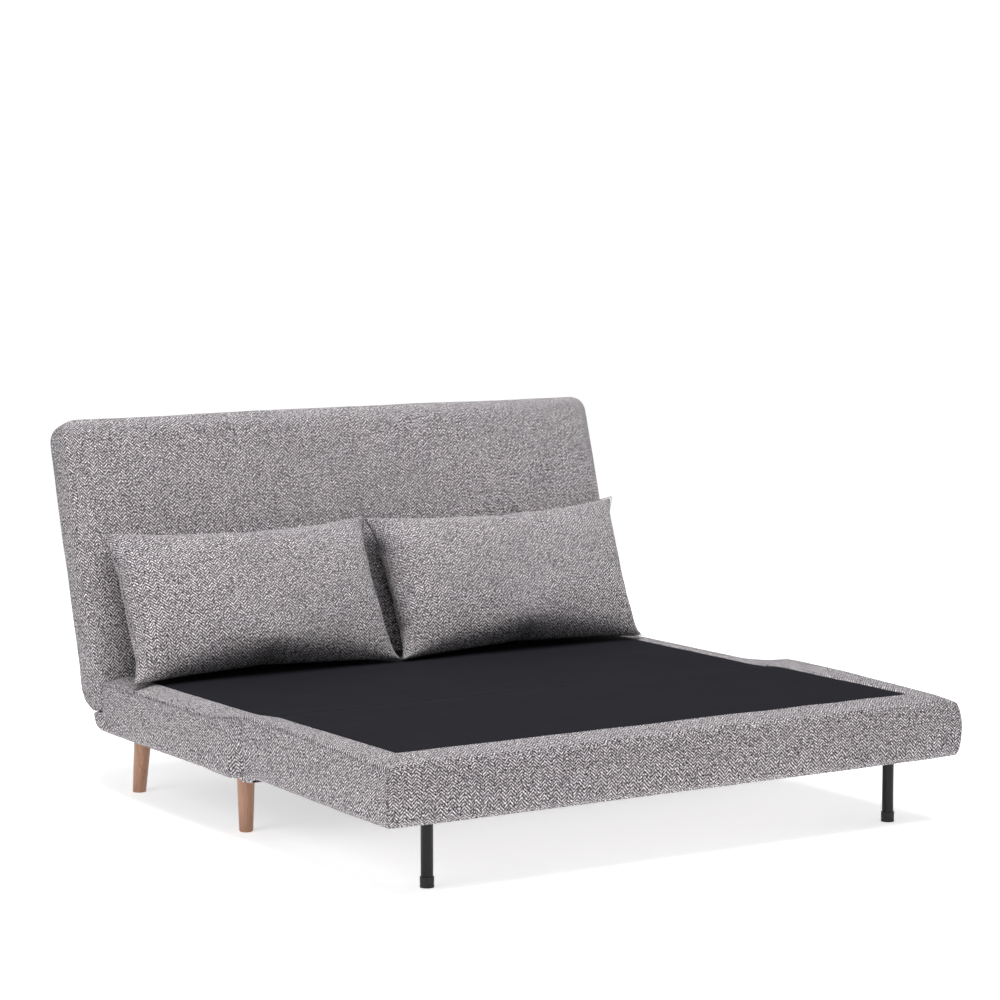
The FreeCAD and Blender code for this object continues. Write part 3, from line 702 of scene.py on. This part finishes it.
class SOFA_OT_deck_cloth(bpy.types.Operator):
    """Black cloth over both decks, in one piece that bends at the crease"""

    bl_idname = "sofa.deck_cloth"
    bl_label = "Deck cloth"

    def execute(self, context):
        pitch = context.scene.sofa_shape.pitch
        low, high = FRONT_DECK_START, AXIS_Y - context.scene.sofa_shape.back_front - 0.004
        xs = np.linspace(-DECK_X, DECK_X, round(2 * DECK_X / pitch / 1.5))
        xs = np.array([-DECK_X - 0.004, *xs, DECK_X + 0.004])
        ys = np.linspace(low, high, round((high - low) / pitch))
        near = CREASE_Y + BEND * np.linspace(-1, 1, 9)
        ys = np.array(sorted([low - 0.004, *ys[np.abs(ys - CREASE_Y) > BEND * 1.4], *near]))

        def place(x, y):
            deck = float(deck_height(y - CREASE_Y))
            inside = min(DECK_X - abs(x), y - low)
            crown = 0.0022 * math.tanh(max(inside, 0) / 0.05)
            tuck = noise.noise(Vector((x * 9, y * 9, 3))) * 0.0007
            dip = 0.0011 * math.exp(-((y - CREASE_Y) / 0.007) ** 2)
            wobble = noise.noise(Vector((x * 5, y * 14, 2))) * 0.0006 if abs(x) > DECK_X - 0.01 else 0
            hem = 0.003 if inside < 0 else 0
            return (x + math.copysign(wobble, x), y, deck - 0.0022 + crown + tuck - dip - hem)

        points, quads, uvs = sheet_grid(xs, ys, place)
        piece = make_object("deck_sheet", points, quads, uvs, stored("black deck cloth"))
        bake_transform(piece)
        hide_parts("base_deck_cloth", "front_deck_cloth")
        return {"FINISHED"}


class SOFA_OT_crease_bands(bpy.types.Operator):
    """Grey borders where they cross the crease, over the fold hinges"""

    bl_idname = "sofa.crease_bands"
    bl_label = "Crease bands"

    def execute(self, context):
        shape = context.scene.sofa_shape
        reach, skirt = 0.018, 0.006
        along = np.array([-1, -0.8, -0.6, -0.45, -0.3, -0.15, 0, 0.15, 0.3, 0.45, 0.6, 0.8, 1]) * reach
        turns = np.radians([90, 78, 66, 55, 45, 35, 24, 12, 0])
        flats = np.linspace(DECK_X + 0.003, HALF - 0.014, 8)
        hinge_low, hinge_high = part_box("base_fold_plate_right")[0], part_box("front_fold_plate_right")[1]
        eye_top = FOLD_Z + 0.0072
        eye_x = (hinge_low.x + hinge_high.x) / 2
        for name, sign in (("left", -1), ("right", 1)):

            def place(y, s):
                share = float(smooth(-reach, reach, y))
                deck = float(deck_height(y))
                rx, rz = 0.011, 0.018 - 0.004 * share
                edge = float(seam_height(y)) + SEAM_DROP * rz
                lift = 0.0012 * max(0.0, math.cos(y / reach * math.pi / 2)) ** 0.6 - 0.0006
                if s < len(flats):
                    x = flats[s]
                    into = min(1, max(0, (x - DECK_X) / BORDER))
                    z = deck + 0.0015 - (deck - edge) * into ** 1.4
                    z -= 0.003 if s == 0 else 0
                    over_eye = math.exp(-((x - eye_x) / 0.020) ** 4 - (y / 0.014) ** 2)
                    z += max(0, eye_top - z) * over_eye
                    return (sign * x, CREASE_Y + y, z + lift)
                turn = turns[s - len(flats)] if s - len(flats) < len(turns) else 0.0
                groove = shape.seam_depth if abs(math.degrees(turn) - 45) < 1 else 0
                x = HALF - 0.003 - rx + (rx + lift) * math.cos(turn) - groove
                z = edge - rz + (rz + lift) * math.sin(turn) - groove
                return (sign * x, CREASE_Y + y, z - (skirt if turn == 0.0 else 0))

            steps = list(range(len(flats) + len(turns)))
            points, quads, _ = sheet_grid(along, steps, place)
            SEAM_LINES.setdefault("crease", []).append(points[len(flats) + 4::len(steps)])
            uvs = [(points[corner][0], points[corner][1]) for quad in quads for corner in quad]
            if sign < 0:
                quads, uvs = turned_over(quads, uvs)
            piece = make_object("crease_band_" + name, points, quads, uvs, stored("grey tweed"))
            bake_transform(piece)
        return {"FINISHED"}


class SOFA_OT_crease_gathers(bpy.types.Operator):
    """Spare cloth gathered at the bottom of the crease"""

    bl_idname = "sofa.crease_gathers"
    bl_label = "Crease gathers"

    def execute(self, context):
        middle, radii = (CREASE_Y + 0.018, UNDERSIDE + 0.008), (0.034, 0.016)
        inner, outer = HALF - 0.095, HALF - 0.009
        rounds, lengths = 36, 14
        for name, sign in (("left", -1), ("right", 1)):
            points, quads = [], []
            for step in range(lengths + 1):
                share = step / lengths
                x = inner + (outer - inner) * share
                full = math.sqrt(max(0.0, 1 - max(0.0, (share - 0.80) / 0.2) ** 2)) * 0.98 + 0.02
                for turn in range(rounds):
                    angle = 2 * math.pi * turn / rounds
                    fold = 1 + 0.13 * math.sin(5 * angle + 2.2 * share)
                    fold += 0.06 * math.sin(9 * angle - 3 * share)
                    y = middle[0] + radii[0] * full * fold * math.cos(angle)
                    z = middle[1] + radii[1] * full * fold * math.sin(angle)
                    points.append((sign * x, y, z))
            for step in range(lengths):
                for turn in range(rounds):
                    following = (turn + 1) % rounds
                    quads.append([step * rounds + turn, step * rounds + following,
                                  (step + 1) * rounds + following, (step + 1) * rounds + turn][::sign])
            for ring in (0, lengths):
                centre = len(points)
                points.append(tuple(np.mean(points[ring * rounds:ring * rounds + rounds], axis=0)))
                for turn in range(rounds):
                    loop = [centre, ring * rounds + turn, ring * rounds + (turn + 1) % rounds]
                    quads.append(loop[::-sign] if ring == 0 else loop[::sign])
            uvs = [(points[corner][1], points[corner][2]) for quad in quads for corner in quad]
            piece = make_object("crease_gather_" + name, points, quads, uvs, stored("grey tweed"))
            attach(piece, "base")
            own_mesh(piece)
        return {"FINISHED"}


# ------------------------------------------------------------------ back


# the back's lower end, from its front face to its rear: how far each point stands above the axis
BACK_END_ACROSS = (-0.055, -0.050, -0.038, -0.020, 0.0, 0.018, 0.041, 0.052, 0.060)
BACK_END_UP = (-0.012, -0.022, -0.033, -0.033, -0.025, -0.011, 0.012, 0.030, 0.056)


def lean_points(points, lean):
    """Stand upright points (x, across, up) at the back's lean about the recliner axis."""
    across, up = points[:, 1], points[:, 2]
    y = AXIS_Y + across * math.cos(lean) + up * math.sin(lean)
    z = AXIS_Z - across * math.sin(lean) + up * math.cos(lean)
    return np.column_stack([points[:, 0], y, z])


class SOFA_OT_back(bpy.types.Operator):
    """Cover of the reclining back"""

    bl_idname = "sofa.back_cover"
    bl_label = "Back cover"

    def execute(self, context):
        shape = context.scene.sofa_shape
        low, high = (-HALF, -shape.back_front, -0.043), (HALF, shape.back_rear, shape.back_top)
        low_radii, high_radii = (0.040, 0.024, 0.004), (0.040, 0.024, 0.040)
        xs = rows(low[0], high[0], low_radii[0], high_radii[0], shape.pitch * 1.25)
        seam_across = 0.040
        ns = rows(low[1], high[1], low_radii[1], high_radii[1], shape.pitch * 0.5, (seam_across,))
        us = rows(low[2], high[2], low_radii[2], high_radii[2], shape.pitch)
        box_points, quads, axes = ruled_box(xs, ns, us)
        points = round_edges(box_points, low, high, low_radii, high_radii)
        cloth = box_points.copy()
        in_end = box_points[:, 2] < low[2] + low_radii[2]
        cloth[in_end, 2] -= np.abs(points[in_end, 1] - box_points[in_end, 1])
        # the lower corners stay square, so the sides round less towards the bottom
        square = 1 - smooth(0.0, 0.14, box_points[:, 2])
        tight = round_edges(box_points, low, high, (0.016, 0.024, 0.004), (0.016, 0.024, 0.040))
        points = points * (1 - square[:, None]) + tight * square[:, None]
        across, up = points[:, 1].copy(), points[:, 2].copy()
        end = np.interp(across, BACK_END_ACROSS, BACK_END_UP)
        reach = 0.10
        weight = np.clip((reach - up) / (reach - low[2]), 0, 1)
        rise = weight ** 1.4 * (end - low[2])
        points[:, 2] += rise
        cloth[:, 2] += rise
        middle = (low[1] + high[1]) / 2
        face = np.clip(np.abs(across - middle) / (high[1] - middle), 0, 1)
        panel = np.cos(np.clip(points[:, 0] / HALF, -1, 1) * math.pi / 2) ** 0.5
        panel *= np.sin(np.clip(up / shape.back_top, 0, 1) * math.pi) ** 0.5
        front = (across < middle)
        puff = np.where(front, -1, 0.6) * shape.crown * 0.8 * panel * smooth(0.5, 1, face)
        near_side = side_share(points)
        belly = 1 - face ** 2
        ripple = waves(points, 0.22, 5) * 0.0022 + waves(points, 0.05, 6) * 0.0006
        points[:, 1] += puff - np.where(front, 1, -1) * ripple * smooth(0.5, 1, face)
        points[:, 0] += np.sign(points[:, 0]) * near_side * (shape.crown * belly - 0.003 + ripple)
        top = smooth(shape.back_top - 0.12, shape.back_top - 0.01, up)
        points[:, 2] += top * (shape.crown * 0.5 * belly - 0.003 * smooth(0, HALF, -points[:, 0]) + ripple)
        seam = np.abs(box_points[:, 1] - seam_across) < SAME
        skin = seam & ((np.abs(np.abs(box_points[:, 0]) - HALF) < MM) | (box_points[:, 2] > high[2] - MM))
        inward = np.zeros_like(points)
        inward[:, 0] = -np.sign(points[:, 0]) * near_side
        inward[:, 2] = -top
        points[skin] += inward[skin] * shape.seam_depth
        left = in_order(skin & (box_points[:, 0] < -HALF + MM), box_points[:, 2])
        above = box_points[:, 2] > high[2] - MM
        over = in_order(skin & above & (np.abs(box_points[:, 0]) < HALF - MM), box_points[:, 0])
        right = in_order(skin & (box_points[:, 0] > HALF - MM), -box_points[:, 2])
        points = lean_points(points, shape.lean)
        SEAM_LINES["back"] = [points[np.concatenate([left, over, right])]]
        uvs = flat_uv(cloth, quads, axes)
        piece = make_object("back_upholstery", points, quads, uvs, stored("grey tweed"))
        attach(piece, "back")
        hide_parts("back_cover", "back_foam", "back_rear_pad")
        return {"FINISHED"}


# ------------------------------------------------------------------ pillows


def pillow_skin(width, height, pitch):
    """Two flat panels sewn together at their edges, a little apart in the middle."""
    count_x, count_z = round(width / pitch), round(height / pitch)
    points, index, quads, uvs = [], {}, [], []

    def corner(i, j, face):
        on_edge = i in (0, count_x) or j in (0, count_z)
        key = (i, j, 0 if on_edge else face)
        if key not in index:
            index[key] = len(points)
            u, v = i / count_x, j / count_z
            gap = 0.020 * (math.sin(math.pi * u) * math.sin(math.pi * v)) ** 0.5 if not on_edge else 0
            points.append(((u - 0.5) * width, face * gap if not on_edge else 0.0, (v - 0.5) * height))
        return index[key]

    for face in (-1, 1):
        for i in range(count_x):
            for j in range(count_z):
                loop = [(i, j), (i + 1, j), (i + 1, j + 1), (i, j + 1)]
                if face > 0:
                    loop = loop[::-1]
                quads.append([corner(a, b, face) for a, b in loop])
                uvs += [(a * pitch, b * pitch) for a, b in loop]
    seam = [(i, 0) for i in range(count_x)] + [(count_x, j) for j in range(count_z)]
    seam += [(i, count_z) for i in range(count_x, 0, -1)] + [(0, j) for j in range(count_z, 0, -1)]
    return np.array(points), quads, uvs, [index[(i, j, 0)] for i, j in seam]


def inflate(points, quads, pressure, frames, thickness):
    """Fill a closed cloth skin with pressure by cloth simulation, until it is thick enough."""
    scene = bpy.context.scene
    mesh = bpy.data.meshes.new("filling")
    mesh.from_pydata([tuple(p) for p in points], [], quads)
    skin = bpy.data.objects.new("filling", mesh)
    scene.collection.objects.link(skin)
    cloth = skin.modifiers.new("Cloth", "CLOTH")
    settings = cloth.settings
    settings.quality = 8
    settings.mass = 0.25
    settings.tension_stiffness = settings.compression_stiffness = 25
    settings.shear_stiffness = 4
    settings.bending_stiffness = 0.8
    settings.use_pressure = True
    settings.uniform_pressure_force = pressure
    settings.effector_weights.gravity = 0
    cloth.point_cache.frame_start, cloth.point_cache.frame_end = 1, frames
    moved = points
    for number in range(1, frames + 1):
        scene.frame_set(number)
        evaluated = skin.evaluated_get(bpy.context.evaluated_depsgraph_get())
        moved = np.array([v.co for v in evaluated.data.vertices])
        if np.ptp(moved[:, 1]) >= thickness:
            break
    scene.frame_set(1)
    bpy.data.objects.remove(skin)
    bpy.data.meshes.remove(mesh)
    return moved


def eased(points, quads, times):
    """The same skin with its sharpest creases eased, all but the corners."""
    pairs = np.array([(quad[i], quad[(i + 1) % 4]) for quad in quads for i in range(4)])
    size = np.abs(points).max(0)
    near_corner = np.minimum(np.abs(points[:, 0]) / size[0], np.abs(points[:, 2]) / size[2])
    hold = smooth(0.80, 0.92, near_corner)[:, None]
    for _ in range(times):
        total, count = np.zeros_like(points), np.zeros((len(points), 1))
        for first, second in (pairs.T, pairs[:, ::-1].T):
            np.add.at(total, first, points[second])
            np.add.at(count, first, 1)
        points = points * hold + (points + total / count) / 2 * (1 - hold)
    return points


class SOFA_OT_pillows(bpy.types.Operator):
    """The two scatter pillows, filled by cloth simulation and set down against the back"""

    bl_idname = "sofa.pillows"
    bl_label = "Scatter pillows"

    def execute(self, context):
        scene = context.scene
        pillow, shape = scene.sofa_pillows, scene.sofa_shape
        cut_width, cut_height = pillow.width + 0.02, pillow.height + 0.012
        flat_points, quads, uvs, seam = pillow_skin(cut_width, cut_height, 0.012)
        full = inflate(flat_points, quads, pillow.pressure, pillow.frames, pillow.thickness)
        full = eased(full, quads, 3)
        full -= (full.max(0) + full.min(0)) / 2
        full *= np.array([pillow.width, pillow.thickness, pillow.height]) / (full.max(0) - full.min(0))
        lean = pillow.lean
        for name, sign, turn in (("left", -1, 0.0), ("right", 1, 0.012)):
            points = full.copy()
            points[:, 0] *= -sign
            down = 0.5 - points[:, 2] / pillow.height
            inward = 0.5 - points[:, 0] / pillow.width
            points[:, 0] -= 0.030 * down
            points[:, 0] += 0.016 * inward if sign < 0 else (1 - inward) * (0.014 - 0.031 * down)
            points += (waves(points, 0.09, 11 + sign) * 0.004)[:, None] * np.array([0, 1, 0])
            tilt = points[:, 0] * turn
            middle = sign * (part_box("pillow_cover_right")[0].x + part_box("pillow_cover_right")[1].x) / 2
            up = points[:, 2] + pillow.height / 2 - 0.014 + tilt
            across = points[:, 1] + 0.004
            y = CREASE_Y + 0.510 + across * math.cos(lean) + up * math.sin(lean)
            z = 0.272 - across * math.sin(lean) + up * math.cos(lean)
            floor = BASE_DECK + 0.0025
            z = np.where(z < floor + 0.02, floor + 0.02 * np.exp((z - floor - 0.02) / 0.02), z)
            above = (z - AXIS_Z - shape.back_front * math.sin(shape.lean)) / math.cos(shape.lean)
            wall = AXIS_Y - shape.back_front * math.cos(shape.lean) + above * math.sin(shape.lean) - 0.009
            y = np.where(y > wall - 0.01, wall - 0.01 * np.exp(-(y - wall + 0.01) / 0.01), y)
            points = np.column_stack([points[:, 0] + middle, y, z])
            facing = (quads, uvs) if sign < 0 else turned_over(quads, uvs)
            piece = make_object("pillow_" + name, points, *facing, stored("grey tweed"), 2)
            SEAM_LINES[name + "_pillow"] = [points[seam + seam[:1]]]
            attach(piece, name + "_pillow")
            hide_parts("pillow_cover_" + name, "pillow_filling_" + name)
        return {"FINISHED"}


# ------------------------------------------------------------------ stitches


def stitch_tree():
    """Geometry Nodes: small stitches set along curves."""
    tree = bpy.data.node_groups.new("Stitches", "GeometryNodeTree")
    interface = tree.interface
    interface.new_socket("Seams", in_out="INPUT", socket_type="NodeSocketGeometry")
    for name in ("Pitch", "Length", "Thread"):
        interface.new_socket(name, in_out="INPUT", socket_type="NodeSocketFloat")
    interface.new_socket("Finish", in_out="INPUT", socket_type="NodeSocketMaterial")
    interface.new_socket("Stitches", in_out="OUTPUT", socket_type="NodeSocketGeometry")
    nodes, links = tree.nodes, tree.links
    start, end = nodes.new("NodeGroupInput"), nodes.new("NodeGroupOutput")
    spots = nodes.new("GeometryNodeCurveToPoints")
    spots.mode = "LENGTH"
    links.new(start.outputs["Seams"], spots.inputs["Curve"])
    links.new(start.outputs["Pitch"], spots.inputs["Length"])
    bead = nodes.new("GeometryNodeMeshUVSphere")
    bead.inputs["Segments"].default_value = 6
    bead.inputs["Rings"].default_value = 5
    bead.inputs["Radius"].default_value = 1.0
    size = nodes.new("ShaderNodeCombineXYZ")
    half = nodes.new("ShaderNodeMath")
    half.operation = "MULTIPLY"
    half.inputs[1].default_value = 0.5
    links.new(start.outputs["Length"], half.inputs[0])
    links.new(half.outputs[0], size.inputs[0])
    links.new(start.outputs["Thread"], size.inputs[1])
    links.new(start.outputs["Thread"], size.inputs[2])
    turn = nodes.new("FunctionNodeAlignRotationToVector")
    turn.axis = "X"
    links.new(spots.outputs["Tangent"], turn.inputs["Vector"])
    place = nodes.new("GeometryNodeInstanceOnPoints")
    links.new(spots.outputs["Points"], place.inputs["Points"])
    links.new(bead.outputs["Mesh"], place.inputs["Instance"])
    links.new(turn.outputs["Rotation"], place.inputs["Rotation"])
    links.new(size.outputs[0], place.inputs["Scale"])
    real = nodes.new("GeometryNodeRealizeInstances")
    links.new(place.outputs["Instances"], real.inputs["Geometry"])
    dress = nodes.new("GeometryNodeSetMaterial")
    links.new(real.outputs["Geometry"], dress.inputs["Geometry"])
    links.new(start.outputs["Finish"], dress.inputs["Material"])
    links.new(dress.outputs["Geometry"], end.inputs["Stitches"])
    return tree


def stitch_rows(name, lines, tree, shape):
    """A mesh of stitches along polylines."""
    curve = bpy.data.curves.new(name, "CURVE")
    curve.dimensions = "3D"
    for line in lines:
        spline = curve.splines.new("POLY")
        spline.points.add(len(line) - 1)
        for point, place in zip(spline.points, line):
            point.co = (*place, 1)
    holder = bpy.data.objects.new(name, curve)
    bpy.context.scene.collection.objects.link(holder)
    modifier = holder.modifiers.new("Stitches", "NODES")
    modifier.node_group = tree
    # the stitches wear the thread finish, whose darkness is partly painted seam shade
    values = {"Pitch": shape.stitch_pitch, "Length": shape.stitch_length, "Thread": shape.thread,
              "Finish": stored("sewing thread")}
    for socket in tree.interface.items_tree:
        if socket.name in values:
            modifier[socket.identifier] = values[socket.name]
    evaluated = holder.evaluated_get(bpy.context.evaluated_depsgraph_get())
    mesh = bpy.data.meshes.new_from_object(evaluated)
    holder.modifiers.remove(modifier)
    bpy.data.objects.remove(holder)
    mesh.shade_smooth()
    piece = bpy.data.objects.new(name, mesh)
    bpy.context.scene.collection.objects.link(piece)
    return piece


class SOFA_OT_stitches(bpy.types.Operator):
    """Rows of stitches along the seams"""

    bl_idname = "sofa.stitches"
    bl_label = "Stitches"

    def execute(self, context):
        tree = stitch_tree()
        for body, lines in SEAM_LINES.items():
            piece = stitch_rows(body + "_stitches", lines, tree, context.scene.sofa_shape)
            if body == "crease":
                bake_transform(piece)
            else:
                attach(piece, body)
        return {"FINISHED"}


# ------------------------------------------------------------------ finishes of the frame's own pieces


class SOFA_OT_finishes(bpy.types.Operator):
    """Every finish, and the hard pieces that wear them"""

    bl_idname = "sofa.finishes"
    bl_label = "Finishes"

    def execute(self, context):
        colours = context.scene.sofa_colours
        grey_cloth(colours)
        black_cloth(colours)
        thread_and_seam_shade_finish(colours)
        wood = beech(colours)
        birch = paint("birch ply", (0.62, 0.45, 0.27), 0.5, grain=120.0)
        leg_paint = paint("gloss black paint", (0.005, 0.005, 0.007), 0.25, gloss=0.25)
        rubber = paint("black rubber", (0.012, 0.012, 0.014), 0.55, grain=600.0)
        plastic = paint("slat holder plastic", (0.03, 0.03, 0.032), 0.45)
        steel = paint("frame powder coat", (0.05, 0.05, 0.052), 0.45, grain=500.0, depth=0.0002)
        zinc = paint("zinc plate", (0.55, 0.55, 0.56), 0.35, metallic=1.0)
        hinge = paint("dark hinge steel", (0.030, 0.030, 0.033), 0.45, metallic=0.5)
        wear = {
            "leg_plates": steel, "leg_bolts": zinc, "base_slats": birch, "front_slats": birch,
            "back_slats": birch, "base_frame": steel, "front_frame": steel, "back_frame": steel,
        }
        for name in frame["nodes"]:
            if name.endswith("_leg") and name.split("_")[0] in ("front", "rear"):
                wear[name] = wood
            elif name.startswith("metal_leg_cap"):
                wear[name] = rubber
            elif name.startswith("metal_leg"):
                wear[name] = leg_paint
            elif name.endswith("holders"):
                wear[name] = plastic
            elif any(word in name for word in ("fold_p", "recliner", "leg_pin", "leg_channel")):
                wear[name] = hinge
        for name, material in wear.items():
            wear_finish(frame["nodes"][name], material)
        return {"FINISHED"}


# ------------------------------------------------------------------ underside


class SOFA_OT_dust_cover(bpy.types.Operator):
    """Thin black cloth under the base"""

    bl_idname = "sofa.dust_cover"
    bl_label = "Dust cover"

    def execute(self, context):
        low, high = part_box("base_dust_cover")
        xs = np.linspace(low.x, high.x, 48)
        ys = np.linspace(low.y, high.y, 28)

        def place(x, y):
            across = math.sin(math.pi * (x - low.x) / (high.x - low.x))
            along = math.sin(math.pi * (y - low.y) / (high.y - low.y))
            sag = 0.0035 * max(across * along, 0) ** 0.5
            return (x, y, UNDERSIDE - 0.0012 - sag + 0.0008 * noise.noise(Vector((x * 12, y * 12, 9))))

        points, quads, uvs = sheet_grid(xs, ys, place)
        piece = make_object("base_dust_sheet", points, *turned_over(quads, uvs), stored("black deck cloth"))
        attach(piece, "base")
        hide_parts("base_dust_cover")
        return {"FINISHED"}


# ------------------------------------------------------------------ stage


def area_light(name, place, aim, size, power):
    """A soft rectangular light that looks at a point."""
    light = bpy.data.lights.new(name, "AREA")
    light.shape = "RECTANGLE"
    light.size, light.size_y = size
    light.energy = power
    holder = bpy.data.objects.new(name, light)
    holder.location = place
    holder.rotation_euler = (Vector(aim) - Vector(place)).to_track_quat("-Z", "Y").to_euler()
    bpy.context.scene.collection.objects.link(holder)


class SOFA_OT_stage(bpy.types.Operator):
    """Pale floor, soft lights and the camera"""

    bl_idname = "sofa.stage"
    bl_label = "Stage"

    def execute(self, context):
        scene = context.scene
        material, nodes, links, shader = finish(
            "pale floor", Roughness=0.9, Specular_IOR_Level=0.0, Emission_Color=(1, 1, 1, 1))
        shader.inputs["Emission Strength"].default_value = 0.62
        tone = noise_value(nodes, links, 1.5)
        links.new(ramp(nodes, links, tone, [(0.3, (0.93, 0.93, 0.93)), (0.7, (0.95, 0.95, 0.95))]),
                  shader.inputs["Base Color"])
        reach, sides = 5.0, 96
        turns = [2 * math.pi * step / sides for step in range(sides)]
        mesh = bpy.data.meshes.new("floor")
        mesh.from_pydata([(reach * math.cos(turn), reach * math.sin(turn), 0) for turn in turns], [],
                         [tuple(range(sides))])
        mesh.materials.append(material)
        floor = bpy.data.objects.new("floor", mesh)
        scene.collection.objects.link(floor)

        world = bpy.data.worlds.new("studio")
        world.use_nodes = True
        sky, sky_links = world.node_tree.nodes, world.node_tree.links
        sky["Background"].inputs[0].default_value = (1, 1, 1, 1)
        seen = sky.new("ShaderNodeLightPath").outputs["Is Camera Ray"]
        strength = maths(sky, sky_links, "MULTIPLY_ADD", seen, 0.78, 0.24)
        sky_links.new(strength, sky["Background"].inputs[1])
        scene.world = world
        area_light("key", (-5.0, -1.4, 3.2), (0, 0, 0.3), (3.0, 2.5), 68)
        area_light("fill", (3.8, -4.5, 2.6), (0, -0.3, 0.3), (3.0, 3.0), 4)
        area_light("top", (0.0, -0.5, 4.2), (0, 0, 0.3), (4.0, 3.0), 195)

        view = scene.sofa_camera
        data = bpy.data.cameras.new("main view")
        data.lens = view.lens
        data.sensor_width = 36.0
        camera = bpy.data.objects.new("main view", data)
        camera.location = view.place
        camera.rotation_euler = (math.pi / 2 - view.tilt, 0, -view.turn)
        scene.collection.objects.link(camera)
        scene.camera = camera
        scene.view_settings.view_transform = "Standard"
        return {"FINISHED"}


# ------------------------------------------------------------------ panel and start


OPERATORS = (
    SOFA_OT_finishes, SOFA_OT_base_cover, SOFA_OT_front_cover, SOFA_OT_deck_cloth, SOFA_OT_crease_bands,
    SOFA_OT_crease_gathers, SOFA_OT_back, SOFA_OT_pillows, SOFA_OT_stitches, SOFA_OT_dust_cover,
    SOFA_OT_stage,
)
GROUPS = {
    "sofa_shape": SofaShape, "sofa_pillows": SofaPillows, "sofa_colours": SofaColours,
    "sofa_camera": SofaCamera,
}


class SOFA_PT_panel(bpy.types.Panel):
    """Lists the sofa's operators"""

    bl_label = "Fold-out Sofa Bed"
    bl_idname = "SOFA_PT_panel"
    bl_space_type = "VIEW_3D"
    bl_region_type = "UI"
    bl_category = "Sofa Bed"

    def draw(self, context):
        for operator in OPERATORS:
            self.layout.operator(operator.bl_idname)
        for name, group in GROUPS.items():
            box = self.layout.box()
            box.label(text=group.__doc__)
            for prop in group.__annotations__:
                box.prop(getattr(context.scene, name), prop)


def register():
    for part in (*GROUPS.values(), *OPERATORS, SOFA_PT_panel):
        bpy.utils.register_class(part)
    for name, group in GROUPS.items():
        setattr(bpy.types.Scene, name, bpy.props.PointerProperty(type=group))


def unregister():
    for name in GROUPS:
        delattr(bpy.types.Scene, name)
    for part in reversed((*GROUPS.values(), *OPERATORS, SOFA_PT_panel)):
        bpy.utils.unregister_class(part)


def main():
    register()
    for operator in OPERATORS:
        section, verb = operator.bl_idname.split(".")
        getattr(getattr(bpy.ops, section), verb)()


if __name__ == "__main__":
    main()
